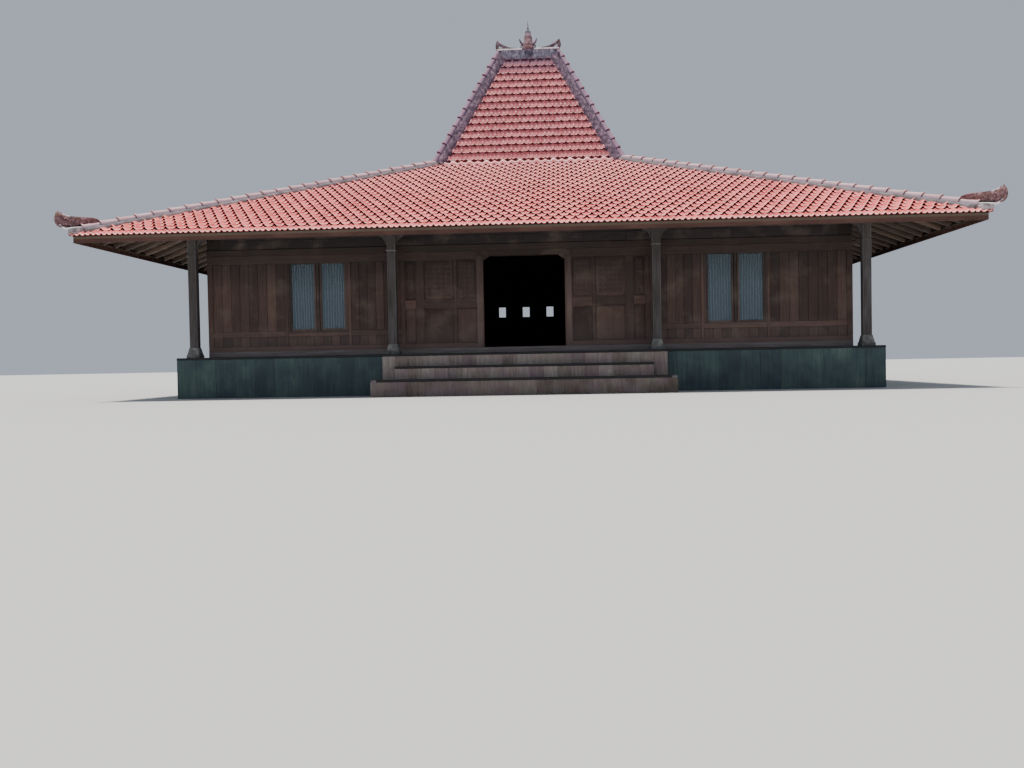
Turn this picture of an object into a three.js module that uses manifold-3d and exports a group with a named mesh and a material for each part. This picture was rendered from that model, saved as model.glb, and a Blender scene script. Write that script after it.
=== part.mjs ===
// A Javanese joglo house: a timber hall on a stone-faced plinth, under a wide hipped roof of clay tiles
// that carries a steep upper roof on four inner posts. Millimetres, +Z up, front towards -Y.
// The origin is the centre of the plinth at ground level.
import * as THREE from 'three';
import { ConvexGeometry } from 'three/addons/geometries/ConvexGeometry.js';
import { mergeVertices } from 'three/addons/utils/BufferGeometryUtils.js';
import Module from 'manifold-3d';

const wasm = await Module();
wasm.setup();

// Gap between pieces that touch.
const SEAT = 0.3;
// Each roof slope stands this far out from its mitre lines.
const MITRE = 0.2;

// Lower roof: the tile edge at the eaves, and the break where the upper roof starts.
const EAVE_X = 8920;
const EAVE_Y = 8130;
const EAVE_Z = 3370;
const BREAK_Y = 1650;
const BREAK_X = BREAK_Y + EAVE_X - EAVE_Y;
const BREAK_Z = 5885;
// Upper roof: hips run at 45 degrees in plan up to a short ridge.
const RIDGE_HALF = BREAK_X - BREAK_Y;
const RIDGE_Z = 9260;
const LOWER_RISE = (BREAK_Z - EAVE_Z) / (EAVE_Y - BREAK_Y);
const UPPER_RISE = (RIDGE_Z - BREAK_Z) / BREAK_Y;
// Vertical depth of the tile layer, and of tiles with rafters.
const TILE_DEPTH = 50;
const ROOF_DEPTH = 170;
// Horizontal depth of the steep upper slopes.
const UPPER_DEPTH = 145;
// The tiles reach past the fascia, which is nailed to the rafter ends.
const TILE_OVERHANG = 70;
const FASCIA_THICK = 25;
const FASCIA_DEPTH = 175;

// Plinth and steps.
const PLINTH_X = 7420;
const PLINTH_Y = 6650;
const FLOOR_Z = 865;
const LANDING_HALF = 2970;
const LANDING_OUT = 120;
const TREAD = 350;
const MIDDLE_STEP_HALF = 2650;
const MIDDLE_STEP_Z = 605;
const BOTTOM_STEP_HALF = 3090;
const BOTTOM_STEP_Z = 340;

// Posts: twelve under the eave beams, four under the upper roof.
const EAVE_OVERHANG = 1790;
const POST_X = EAVE_X - EAVE_OVERHANG;
const POST_Y = EAVE_Y - EAVE_OVERHANG;
const POST_INNER_X = 2800;
const POST_INNER_Y = 2030;
const POST_WIDE = 180;
const POST_BASE = { low: 290, high: 205, tall: 220 };
const EAVE_BEAM_WIDE = 160;
const EAVE_BEAM_Z = 3680;
const RING_WIDE = 200;
const RING_Z = 5440;
const RING_OUT = 10;
const MAIN_POST_WIDE = 220;
const MAIN_POST_BASE = { low: 360, high: 250, tall: 260 };

// Timber walls.
const WALL_THICK = 100;
const WALL_X = 6980;
const WALL_Y = 5930;
const DOOR_HALF = 880;
const SILL_Z = 990;
const DOOR_TOP_Z = 2960;
const JAMB = 150;
const HEAD = 190;
const FRAME_PROUD = 20;

// Windows of two sashes each, in the front and side walls.
const WINDOW_CENTRE_X = 4520;
const WINDOW_HALF = 670;
const WINDOW_LOW_Z = 1370;
const WINDOW_HIGH_Z = 2970;
const PANE_INNER = 85;
const PANE_OUTER = 580;
const PANE_LOW_Z = 1460;
const PANE_HIGH_Z = 2880;
const PANE_RECESS = 40;
const WINDOW_PROUD = 15;

// Small openings in the back wall.
const VENT_PITCH = 816;
const VENT_COUNT = 4;
const VENT_WIDE = 235;
const VENT_LOW_Z = 2180;
const VENT_HIGH_Z = 2520;

// Ridge band with a horn at each end, and the finial in its middle.
const RIDGE_BAND_HALF = 870;
const RIDGE_BAND_WIDE = 230;
const RIDGE_BAND_Z = 9330;
const HORN_PAST = 20;
const HORN_LONG = 500;
const HORN_TALL = 270;
const HORN_TAIL = 35;
const HORN_THICK = 70;
const FINIAL_RADIUS = 165;
const FINIAL_BODY = 560;
const FINIAL_SPIKE = 250;

// Half section of the hip caps: half width, height at the side, shoulder and height in the middle.
const UPPER_HIP = { half: 90, side: 60, shoulder: 54, shoulderTop: 110, top: 130 };
const LOWER_HIP = { half: 110, side: 30, shoulder: 66, shoulderTop: 85, top: 100 };
// Room between a cap and the tiles, measured upright.
const CAP_SEAT = 1.2;

// Corner ornament: how far it reaches along the hip, before and past the corner of the eaves.
const ORNAMENT_BACK = 620;
const ORNAMENT_PAST = 240;
const ORNAMENT_THICK = 120;
// Heights over the eaves: its mortar bed, its back, and the tip of its head.
const ORNAMENT_BED = 140;
const ORNAMENT_ROOT = 350;
const ORNAMENT_TOP = 395;
const ORNAMENT_TIP = 485;
const ORNAMENT_BED_PAST = 60;

// Higher than anything here, for solids that only cut.
const ABOVE = 2 * RIDGE_Z;

const finish = (color, roughness) => new THREE.MeshStandardMaterial({ color, roughness, metalness: 0 });
const plinthStone = finish(0x3c4442, 0.85);
const stepStone = finish(0x75665c, 0.8);
const postTimber = finish(0x6b5a4c, 0.75);
const wallTimber = finish(0x5a3b2a, 0.65);
const sashTimber = finish(0x6a4630, 0.6);
const clayTile = finish(0xb9573f, 0.8);
const ridgeMortar = finish(0x77706f, 0.9);
const ornamentClay = finish(0x9b5a3c, 0.85);

const house = new THREE.Group();

function place(name, geometry, material, parent = house) {
  const mesh = new THREE.Mesh(geometry, material);
  mesh.name = name;
  parent.add(mesh);
  return mesh;
}

function toSolid(geometry) {
  const plain = geometry.clone();
  plain.deleteAttribute('normal');
  plain.deleteAttribute('uv');
  const merged = mergeVertices(plain);
  return new wasm.Manifold(new wasm.Mesh({
    numProp: 3,
    vertProperties: Float32Array.from(merged.attributes.position.array),
    triVerts: Uint32Array.from(merged.index.array),
  }));
}

function toGeometry(solid) {
  const mesh = solid.getMesh();
  const geometry = new THREE.BufferGeometry();
  geometry.setAttribute('position', new THREE.BufferAttribute(mesh.vertProperties, 3));
  geometry.setIndex(new THREE.BufferAttribute(mesh.triVerts, 1));
  return geometry;
}

// Convex solid around a list of corners.
const block = (corners) => new ConvexGeometry(corners.map((corner) => new THREE.Vector3(...corner)));

// Box between two corners.
function box(low, high) {
  const size = high.map((value, axis) => value - low[axis]);
  const middle = high.map((value, axis) => (value + low[axis]) / 2);
  return new THREE.BoxGeometry(...size).translate(...middle);
}

// Solid under the lower slopes, lowered by a depth, that trims what stands beneath them.
// The slopes run on inwards past the foot of the upper roof.
function underLowerRoof(depth) {
  const crestX = BREAK_X / 2;
  const crestY = crestX - RIDGE_HALF;
  const corners = [];
  for (const sx of [-1, 1]) {
    for (const sy of [-1, 1]) {
      corners.push([sx * EAVE_X, sy * EAVE_Y, 0]);
      corners.push([sx * EAVE_X, sy * EAVE_Y, EAVE_Z - depth]);
      corners.push([sx * crestX, sy * crestY, lowerTop(crestX) - depth]);
    }
  }
  return toSolid(block(corners));
}

// Height of the lower tile surface at a distance out along X.
function lowerTop(x) {
  return EAVE_Z + (EAVE_X - x) * LOWER_RISE;
}

const underRafters = underLowerRoof(ROOF_DEPTH + SEAT);
const underTiles = underLowerRoof(TILE_DEPTH + SEAT);
const trimmed = (geometry, region) => toGeometry(toSolid(geometry).intersect(region));

// The four sides are made facing the front and turned. At a distance out from the middle,
// a side is that distance plus its skew to each end, because all hips run at 45 degrees.
const SIDES = [
  { name: 'front', turn: 0, eave: EAVE_Y, skew: RIDGE_HALF, post: POST_Y },
  { name: 'right', turn: Math.PI / 2, eave: EAVE_X, skew: -RIDGE_HALF, post: POST_X },
  { name: 'back', turn: Math.PI, eave: EAVE_Y, skew: RIDGE_HALF, post: POST_Y },
  { name: 'left', turn: -Math.PI / 2, eave: EAVE_X, skew: -RIDGE_HALF, post: POST_X },
];

// Mitred bar of one side: rows of [distance out, height] are the corners of its section.
function mitredBar(side, section) {
  const corners = section.flatMap(([out, z]) => [[-out - side.skew, -out, z], [out + side.skew, -out, z]]);
  return block(corners);
}

function plinthAndSteps() {
  const body = toSolid(box([-PLINTH_X, -PLINTH_Y, 0], [PLINTH_X, PLINTH_Y, FLOOR_Z]));
  const landingFront = -PLINTH_Y - LANDING_OUT;
  const landing = toSolid(box([-LANDING_HALF, landingFront, 0], [LANDING_HALF, 0, FLOOR_Z]));
  place('plinth', toGeometry(body.add(landing)), plinthStone);
  const middleBack = landingFront - SEAT;
  const middleFront = landingFront - TREAD;
  place('middle_step', box([-MIDDLE_STEP_HALF, middleFront, 0],
    [MIDDLE_STEP_HALF, middleBack, MIDDLE_STEP_Z]), stepStone);
  place('bottom_step', box([-BOTTOM_STEP_HALF, middleFront - TREAD, 0],
    [BOTTOM_STEP_HALF, middleFront - SEAT, BOTTOM_STEP_Z]), stepStone);
}

// Square post on its tapered base stone: a lathe of four sides.
function post(wide, base, top) {
  const tall = top - FLOOR_Z - 2 * SEAT;
  const corner = Math.SQRT1_2;
  const profile = [
    [0, 0], [base.low * corner, 0], [base.low * corner, base.tall * 0.25], [base.high * corner, base.tall],
    [wide * corner, base.tall], [wide * corner, tall], [0, tall],
  ].map(([radius, z]) => new THREE.Vector2(radius, z));
  return new THREE.LatheGeometry(profile, 4).rotateX(Math.PI / 2).rotateZ(Math.PI / 4);
}

function posts() {
  const outer = post(POST_WIDE, POST_BASE, EAVE_BEAM_Z);
  const rows = [];
  for (const [row, y] of [['front', -POST_Y], ['back', POST_Y]]) {
    for (const [column, x] of [-POST_X, -POST_INNER_X, POST_INNER_X, POST_X].entries()) {
      rows.push([`${row}_post_${column + 1}`, x, y]);
    }
  }
  for (const [row, x] of [['left', -POST_X], ['right', POST_X]]) {
    for (const [column, y] of [-POST_INNER_Y, POST_INNER_Y].entries()) {
      rows.push([`${row}_post_${column + 1}`, x, y]);
    }
  }
  for (const [name, x, y] of rows) {
    place(name, outer, postTimber).position.set(x, y, FLOOR_Z + SEAT);
  }
  const main = post(MAIN_POST_WIDE, MAIN_POST_BASE, RING_Z);
  const inset = RING_WIDE / 2 + RING_OUT;
  const names = ['main_post_1', 'main_post_2', 'main_post_3', 'main_post_4'];
  for (const [index, name] of names.entries()) {
    const x = (index % 2 ? 1 : -1) * (BREAK_X - inset);
    const y = (index < 2 ? -1 : 1) * (BREAK_Y - inset);
    place(name, main, postTimber).position.set(x, y, FLOOR_Z + SEAT);
  }
}

function beams() {
  const half = EAVE_BEAM_WIDE / 2;
  for (const side of SIDES) {
    const top = (out) => EAVE_Z + (side.eave - out) * LOWER_RISE - ROOF_DEPTH - SEAT;
    const outer = side.post + half;
    const inner = side.post - half;
    const bar = mitredBar(side, [
      [outer, EAVE_BEAM_Z], [inner, EAVE_BEAM_Z],
      [outer, top(outer)], [inner, top(inner)],
    ]);
    const beam = place(`${side.name}_eave_beam`, bar.translate(0, -MITRE, 0), postTimber);
    beam.rotation.z = side.turn;
  }
  const outX = BREAK_X - RING_OUT;
  const outY = BREAK_Y - RING_OUT;
  const inX = outX - RING_WIDE;
  const inY = outY - RING_WIDE;
  const ring = toSolid(box([-outX, -outY, RING_Z], [outX, outY, RIDGE_Z]))
    .subtract(toSolid(box([-inX, -inY, 0], [inX, inY, ABOVE])))
    .intersect(underRafters);
  place('upper_ring_beam', toGeometry(ring), postTimber);
}

// Two-sash window made in a wall that faces -Y, centred on x = 0 with the wall face at y = 0.
function windowUnit() {
  const low = [-WINDOW_HALF + SEAT, -WINDOW_PROUD, WINDOW_LOW_Z + SEAT];
  const high = [WINDOW_HALF - SEAT, WALL_THICK - WINDOW_PROUD, WINDOW_HIGH_Z - SEAT];
  let unit = toSolid(box(low, high));
  for (const [from, to] of [[-PANE_OUTER, -PANE_INNER], [PANE_INNER, PANE_OUTER]]) {
    const pane = box([from, -WINDOW_PROUD - 1, PANE_LOW_Z], [to, PANE_RECESS - WINDOW_PROUD, PANE_HIGH_Z]);
    unit = unit.subtract(toSolid(pane));
  }
  return toGeometry(unit);
}

// Opening for a window in the same frame as windowUnit.
function windowOpening() {
  return box([-WINDOW_HALF, -WALL_THICK, WINDOW_LOW_Z], [WINDOW_HALF, 2 * WALL_THICK, WINDOW_HIGH_Z]);
}

function walls() {
  const bottom = FLOOR_Z + SEAT;
  const innerY = WALL_Y - WALL_THICK;
  const innerX = WALL_X - WALL_THICK;
  const frameHalf = DOOR_HALF + JAMB;
  const frameTop = DOOR_TOP_Z + HEAD;

  const opening = box([-DOOR_HALF, -WALL_Y * 2, SILL_Z], [DOOR_HALF, 0, DOOR_TOP_Z]);
  const frame = box([-frameHalf, -WALL_Y - FRAME_PROUD, bottom], [frameHalf, -innerY + FRAME_PROUD, frameTop]);
  place('door_frame', toGeometry(toSolid(frame).subtract(toSolid(opening))), sashTimber);
  place('front_wall_over_door', trimmed(box([-frameHalf + SEAT, -WALL_Y, frameTop + SEAT],
    [frameHalf - SEAT, -innerY, BREAK_Z]), underRafters), wallTimber);

  const unit = windowUnit();
  for (const [name, side] of [['left', -1], ['right', 1]]) {
    const ends = [side * (frameHalf + SEAT), side * WALL_X].sort((a, b) => a - b);
    const centre = side * WINDOW_CENTRE_X;
    const panel = toSolid(box([ends[0], -WALL_Y, bottom], [ends[1], -innerY, BREAK_Z]))
      .subtract(toSolid(windowOpening().translate(centre, -WALL_Y, 0)))
      .intersect(underRafters);
    place(`front_wall_${name}`, toGeometry(panel), wallTimber);
    place(`front_window_${name}`, unit, sashTimber).position.set(centre, -WALL_Y, 0);
  }

  for (const [name, turn] of [['right', Math.PI / 2], ['left', -Math.PI / 2]]) {
    const group = new THREE.Group();
    group.rotation.z = turn;
    house.add(group);
    const end = innerY - SEAT;
    const slab = box([-end, -WALL_X, bottom], [end, -innerX, BREAK_Z]).rotateZ(turn);
    const hole = windowOpening().translate(0, -WALL_X, 0).rotateZ(turn);
    const panel = toSolid(slab).subtract(toSolid(hole)).intersect(underRafters);
    place(`${name}_wall`, toGeometry(panel), wallTimber);
    place(`${name}_window`, unit, sashTimber, group).position.set(0, -WALL_X, 0);
  }

  let back = toSolid(box([-WALL_X, innerY, bottom], [WALL_X, WALL_Y, BREAK_Z])).intersect(underRafters);
  for (let index = 0; index < VENT_COUNT; index += 1) {
    const x = (index - (VENT_COUNT - 1) / 2) * VENT_PITCH;
    const vent = box([x - VENT_WIDE / 2, 0, VENT_LOW_Z], [x + VENT_WIDE / 2, 2 * WALL_Y, VENT_HIGH_Z]);
    back = back.subtract(toSolid(vent));
  }
  place('back_wall', toGeometry(back), wallTimber);
}

function lowerRoof() {
  const inner = BREAK_Y - UPPER_DEPTH - TILE_DEPTH;
  for (const side of SIDES) {
    const top = (out) => EAVE_Z + (side.eave - out) * LOWER_RISE;
    const end = side.eave - EAVE_Y + inner;
    const rafterEnd = side.eave - TILE_OVERHANG - FASCIA_THICK - SEAT;
    const lap = 1;
    const tiles = mitredBar(side, [
      [side.eave, top(side.eave)], [side.eave, top(side.eave) - TILE_DEPTH],
      [end, top(end)], [end, top(end) - TILE_DEPTH],
    ]);
    const rafters = mitredBar(side, [
      [rafterEnd, top(rafterEnd) - TILE_DEPTH + lap], [rafterEnd, top(rafterEnd) - ROOF_DEPTH],
      [end, top(end) - TILE_DEPTH + lap], [end, top(end) - ROOF_DEPTH],
    ]);
    const slope = toGeometry(toSolid(tiles).add(toSolid(rafters))).translate(0, -MITRE, 0);
    place(`lower_roof_${side.name}`, slope, clayTile).rotation.z = side.turn;
  }
  const faceX = EAVE_X - TILE_OVERHANG;
  const faceY = EAVE_Y - TILE_OVERHANG;
  const low = EAVE_Z - FASCIA_DEPTH - TILE_DEPTH + TILE_OVERHANG * LOWER_RISE;
  const fascia = toSolid(box([-faceX, -faceY, low], [faceX, faceY, BREAK_Z]))
    .subtract(toSolid(box([-faceX + FASCIA_THICK, -faceY + FASCIA_THICK, 0],
      [faceX - FASCIA_THICK, faceY - FASCIA_THICK, RIDGE_Z])))
    .intersect(underTiles);
  place('fascia', toGeometry(fascia), sashTimber);
}

function upperRoof() {
  // The inner face of a slope meets the lower tile surface this far in from the break.
  const foot = UPPER_DEPTH / (1 - LOWER_RISE / UPPER_RISE);
  const drop = UPPER_DEPTH * UPPER_RISE;
  for (const side of SIDES) {
    const out = side.eave - EAVE_Y + BREAK_Y;
    const crest = side.eave - EAVE_Y;
    const slope = mitredBar(side, [
      [out, BREAK_Z], [out - foot, BREAK_Z + foot * LOWER_RISE],
      [crest, RIDGE_Z], [crest, RIDGE_Z - drop],
    ]).translate(0, -MITRE, 2 * SEAT);
    place(`upper_roof_${side.name}`, slope, clayTile).rotation.z = side.turn;
  }
}

// Cap along a hip, made for the front right corner: its section is upright and square to the hip
// in plan, with a notched seat on the two slopes.
function hipCap(section, from, to, fall) {
  const across = Math.SQRT1_2;
  const seat = (wide) => CAP_SEAT - wide * fall * across;
  const profile = [
    [0, seat(0)], [section.half, seat(section.half)],
    [section.half, seat(section.half) + section.side],
    [section.shoulder, section.shoulderTop], [0, section.top],
  ];
  const halves = [1, -1].map((hand) => {
    const corners = [from, to].flatMap((hip) => profile.map(([wide, z]) => [
      hip.x + hand * wide * across, hip.y + hand * wide * across, hip.z + z,
    ]));
    return toSolid(block(corners));
  });
  return halves[0].add(halves[1]);
}

// The four corners, named and mirrored from the front right one.
const CORNERS = [
  { name: 'front_right', sx: 1, sy: 1 }, { name: 'back_right', sx: 1, sy: -1 },
  { name: 'back_left', sx: -1, sy: -1 }, { name: 'front_left', sx: -1, sy: 1 },
];
function mirrored(solid, corner) {
  const sideways = corner.sx < 0 ? solid.mirror([1, 0, 0]) : solid;
  return toGeometry(corner.sy < 0 ? sideways.mirror([0, 1, 0]) : sideways);
}

// Point on a hip of the front right corner at a distance out from the middle along Y.
function hipPoint(out) {
  const z = out > BREAK_Y
    ? EAVE_Z + (EAVE_Y - out) * LOWER_RISE
    : BREAK_Z + (BREAK_Y - out) * UPPER_RISE;
  return new THREE.Vector3(out + RIDGE_HALF, -out, z);
}

// Carved leaf that lies nearly level over the end of the hip, with its head curled up past the corner.
// The outline is upright, along the hip: distance from the inner end, and height over the eaves.
function cornerOrnament() {
  const reach = ORNAMENT_BACK + ORNAMENT_PAST;
  const bedEnd = ORNAMENT_BACK + ORNAMENT_BED_PAST;
  const neck = reach - ORNAMENT_PAST * 0.75;
  const tip = reach - ORNAMENT_PAST * 0.25;
  const cheek = (ORNAMENT_BED + ORNAMENT_TIP) / 2;
  const outline = new THREE.Shape();
  outline.moveTo(0, CAP_SEAT + ORNAMENT_BACK * LOWER_RISE * Math.SQRT1_2);
  outline.lineTo(0, ORNAMENT_ROOT);
  outline.quadraticCurveTo(reach / 3, ORNAMENT_TOP, neck, ORNAMENT_TOP);
  outline.quadraticCurveTo((neck + tip) / 2, ORNAMENT_TOP, tip, ORNAMENT_TIP);
  outline.quadraticCurveTo(reach, ORNAMENT_TIP, reach, cheek);
  outline.quadraticCurveTo(reach, ORNAMENT_BED, bedEnd, ORNAMENT_BED);
  outline.lineTo(bedEnd, CAP_SEAT);
  outline.lineTo(ORNAMENT_BACK, CAP_SEAT);
  outline.closePath();
  const thickness = { depth: ORNAMENT_THICK, bevelEnabled: false, curveSegments: 6 };
  const leaf = new THREE.ExtrudeGeometry(outline, thickness)
    .translate(0, 0, -ORNAMENT_THICK / 2)
    .rotateX(Math.PI / 2)
    .rotateZ(-Math.PI / 4);
  const root = hipPoint(EAVE_Y - ORNAMENT_BACK * Math.SQRT1_2);
  const bed = hipCap(LOWER_HIP, root, hipPoint(EAVE_Y), LOWER_RISE);
  return toSolid(leaf.translate(root.x, root.y, EAVE_Z)).add(bed);
}

function hips() {
  const ornamentStart = EAVE_Y - ORNAMENT_BACK * Math.SQRT1_2 - SEAT;
  const lower = hipCap(LOWER_HIP, hipPoint(ornamentStart), hipPoint(BREAK_Y + SEAT), LOWER_RISE);
  const ridgeClear = toSolid(box([RIDGE_BAND_HALF + SEAT, -EAVE_Y, 0], [EAVE_X, -MITRE, ABOVE]));
  const upper = hipCap(UPPER_HIP, hipPoint(BREAK_Y), hipPoint(0), UPPER_RISE)
    .translate([0, 0, 2 * SEAT]).intersect(ridgeClear).subtract(underLowerRoof(-SEAT));
  const ornament = cornerOrnament();
  for (const corner of CORNERS) {
    place(`lower_hip_${corner.name}`, mirrored(lower, corner), ridgeMortar);
    place(`upper_hip_${corner.name}`, mirrored(upper, corner), ridgeMortar);
    place(`corner_ornament_${corner.name}`, mirrored(ornament, corner), ornamentClay);
  }
}

// Pierced horn at the right end of the ridge: a low tail that sweeps up in a hollow curve to an
// upright tip. Its foot is sunk a little into the band that carries it.
function horn() {
  const tip = RIDGE_BAND_HALF + HORN_PAST;
  const tail = tip - HORN_LONG;
  const middle = (tip + tail) / 2;
  const foot = RIDGE_BAND_Z - SEAT;
  const outline = new THREE.Shape();
  outline.moveTo(tail, foot);
  outline.lineTo(RIDGE_BAND_HALF - HORN_PAST, foot);
  outline.quadraticCurveTo(tip + HORN_PAST, foot + HORN_TALL / 2, tip - HORN_PAST, foot + HORN_TALL);
  outline.quadraticCurveTo(tip - HORN_TALL / 3, foot + HORN_TALL / 2, middle, foot + HORN_TALL / 3);
  outline.lineTo(tail, foot + HORN_TAIL);
  outline.closePath();
  for (const [inset, radius] of [[90, 30], [170, 20]]) {
    const eye = new THREE.Path();
    eye.absarc(tip - inset, foot + 2.3 * HORN_TAIL, radius, 0, Math.PI * 2, true);
    outline.holes.push(eye);
  }
  return new THREE.ExtrudeGeometry(outline, { depth: HORN_THICK, bevelEnabled: false, curveSegments: 6 })
    .rotateX(Math.PI / 2)
    .translate(0, HORN_THICK / 2, 0);
}

function crown() {
  const half = RIDGE_BAND_WIDE / 2;
  const seat = (y) => RIDGE_Z - Math.abs(y) * UPPER_RISE + CAP_SEAT;
  const band = [[-1, 0], [0, 1]].map(([from, to]) => {
    const corners = [];
    for (const x of [-RIDGE_BAND_HALF, RIDGE_BAND_HALF]) {
      for (const y of [from * half, to * half]) {
        corners.push([x, y, seat(y)], [x, y, RIDGE_BAND_Z]);
      }
    }
    return toSolid(block(corners));
  });
  const right = toSolid(horn());
  const ridge = band[0].add(band[1]).add(right).add(right.mirror([1, 0, 0]));
  place('ridge', toGeometry(ridge), ridgeMortar);

  // Square-shouldered bottle shape, as shares of its radius and height: foot, body, neck and cap.
  const profile = [
    [0, 0], [1, 0], [1, 0.06], [0.9, 0.1], [0.82, 0.35], [0.85, 0.6], [0.7, 0.68],
    [0.6, 0.78], [0.42, 0.86], [0.42, 0.97], [0.16, 1],
  ].map(([radius, z]) => new THREE.Vector2(radius * FINIAL_RADIUS, z * FINIAL_BODY));
  profile.push(new THREE.Vector2(0, FINIAL_BODY + FINIAL_SPIKE));
  const finial = new THREE.LatheGeometry(profile, 16).rotateX(Math.PI / 2);
  place('finial', finial, ornamentClay).position.set(0, 0, RIDGE_BAND_Z + SEAT);
}

plinthAndSteps();
posts();
beams();
walls();
lowerRoof();
upperRoof();
hips();
crown();

export default house;
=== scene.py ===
"""The looks of a Javanese joglo house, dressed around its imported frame.

The sections follow the house as it is put together: plinth, steps, posts, beams, timber walls, windows,
the wide lower roof, the steep upper roof, and the crown. Lengths are metres and the front faces -Y.
"""

import bpy
import numpy as np
from mathutils import Matrix, Vector


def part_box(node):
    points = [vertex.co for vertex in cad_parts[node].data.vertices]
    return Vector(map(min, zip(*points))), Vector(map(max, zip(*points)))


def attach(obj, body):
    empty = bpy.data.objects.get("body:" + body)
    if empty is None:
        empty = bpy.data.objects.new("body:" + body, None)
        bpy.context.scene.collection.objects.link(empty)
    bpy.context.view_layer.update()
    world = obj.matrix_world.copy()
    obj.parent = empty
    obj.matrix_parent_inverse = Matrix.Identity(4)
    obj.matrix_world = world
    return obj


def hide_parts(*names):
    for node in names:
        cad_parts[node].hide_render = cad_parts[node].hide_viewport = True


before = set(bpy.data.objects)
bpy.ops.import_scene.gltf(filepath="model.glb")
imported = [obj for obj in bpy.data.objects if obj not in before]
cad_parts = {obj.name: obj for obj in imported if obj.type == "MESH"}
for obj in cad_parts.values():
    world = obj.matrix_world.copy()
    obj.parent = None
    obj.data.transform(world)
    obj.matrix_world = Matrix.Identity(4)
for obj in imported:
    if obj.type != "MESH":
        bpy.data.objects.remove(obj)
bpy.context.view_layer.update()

# Camera, light and floor. The camera stands low before the steps and looks level, a little to the left,
# as the photograph does. A soft sun stands nearly overhead, the sky is pale and the floor is plain.
CAMERA_AT = (0.79, -26.0, 0.68)
YAW = -0.0543
PITCH = -0.025
ROLL = -0.0184
FOCAL_SHARE = 0.904
SENSOR_MM = 36.0
VIEW_REACH = 400
SUN_FROM = (-0.14, -0.08, 1.0)
SUN_STRENGTH = 6.2
SUN_COLOUR = (1.0, 0.96, 0.9)
SUN_SOFTNESS = np.radians(6)
SKY_COLOUR = (0.78, 0.86, 1.0, 1.0)
SKY_STRENGTH = 0.55
FLOOR_REACH = 90.0
FLOOR_DROP = 0.004
FLOOR_COLOUR = (0.5, 0.5, 0.49, 1.0)
FLOOR_ROUGHNESS = 0.9

forward = np.array([np.sin(YAW) * np.cos(PITCH), np.cos(YAW) * np.cos(PITCH), np.sin(PITCH)])
level = np.array([np.cos(YAW), -np.sin(YAW), 0.0])
upright = np.cross(level, forward)
rightward = level * np.cos(ROLL) + upright * np.sin(ROLL)
upward = upright * np.cos(ROLL) - level * np.sin(ROLL)
lens = bpy.data.cameras.new("camera")
lens.sensor_width = SENSOR_MM
lens.lens = SENSOR_MM * FOCAL_SHARE
lens.clip_end = VIEW_REACH
camera = bpy.data.objects.new("camera", lens)
turn = Matrix(np.column_stack([rightward, upward, -forward]).tolist())
camera.matrix_world = Matrix.Translation(CAMERA_AT) @ turn.to_4x4()
bpy.context.collection.objects.link(camera)
bpy.context.scene.camera = camera

lamp = bpy.data.lights.new("sun", "SUN")
lamp.energy = SUN_STRENGTH
lamp.angle = SUN_SOFTNESS
lamp.color = SUN_COLOUR
sun = bpy.data.objects.new("sun", lamp)
sun.rotation_euler = Vector(SUN_FROM).to_track_quat("Z", "Y").to_euler()
bpy.context.collection.objects.link(sun)

sky = bpy.data.worlds.new("sky")
sky.use_nodes = True
sky_inputs = sky.node_tree.nodes["Background"].inputs
sky_inputs["Color"].default_value = SKY_COLOUR
sky_inputs["Strength"].default_value = SKY_STRENGTH
bpy.context.scene.world = sky

ground = bpy.data.meshes.new("floor")
corners = [(x * FLOOR_REACH, y * FLOOR_REACH, -FLOOR_DROP) for x, y in ((-1, -1), (1, -1), (1, 1), (-1, 1))]
ground.from_pydata(corners, [], [(0, 1, 2, 3)])
floor = bpy.data.objects.new("floor", ground)
bpy.context.collection.objects.link(floor)
plain = bpy.data.materials.new("plain floor")
plain.use_nodes = True
plain_inputs = plain.node_tree.nodes["Principled BSDF"].inputs
plain_inputs["Base Color"].default_value = FLOOR_COLOUR
plain_inputs["Roughness"].default_value = FLOOR_ROUGHNESS
ground.materials.append(plain)


# Plinth. A mass of masonry faced with upright slabs of dark blue-green stone set in mortar, with a black
# nosing along its top, and a landing of brown sandstone before the door. Its floor is paved with dark slabs.
class Signal:
    """An output socket in a material's nodes. Arithmetic on it adds Math nodes, node() adds any other."""

    def __init__(self, socket):
        self.socket = socket

    def node(self, kind, settings, sockets, out=0):
        """A new node of that kind: its settings first, then the values or signals of its sockets."""
        made = self.socket.id_data.nodes.new("ShaderNode" + kind)
        for name, value in settings.items():
            if name != "stops":
                setattr(made, name, value)
                continue
            while len(made.color_ramp.elements) < len(value):
                made.color_ramp.elements.new(1.0)
            for element, (place, colour) in zip(made.color_ramp.elements, value):
                element.position = place
                element.color = colour
        for key, value in sockets.items():
            feed(made.inputs[key], value)
        return Signal(made.outputs[out])

    def part(self, axis):
        return self.node("SeparateXYZ", {}, {0: self}, out=axis)

    def math(self, operation, first, second):
        return self.node("Math", {"operation": operation}, {0: first, 1: second})

    def __add__(self, other):
        return self.math("ADD", self, other)

    def __sub__(self, other):
        return self.math("SUBTRACT", self, other)

    def __rsub__(self, other):
        return self.math("SUBTRACT", other, self)

    def __mul__(self, other):
        return self.math("MULTIPLY", self, other)

    __radd__ = __add__
    __rmul__ = __mul__


def feed(socket, value):
    """Links a signal to an input socket, or sets the socket to a plain value."""
    if isinstance(value, Signal):
        socket.id_data.links.new(value.socket, socket)
    else:
        socket.default_value = value


def ink(code):
    """Linear colour of a six-digit screen colour: each part over 0.04 is ((part + 0.055) / 1.055) ^ 2.4."""
    part = np.array([int(code[at:at + 2], 16) for at in (0, 2, 4)]) / 255
    linear = np.where(part < 0.04045, part / 12.92, ((part + 0.055) / 1.055) ** 2.4)
    return (*linear.tolist(), 1.0)


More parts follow.
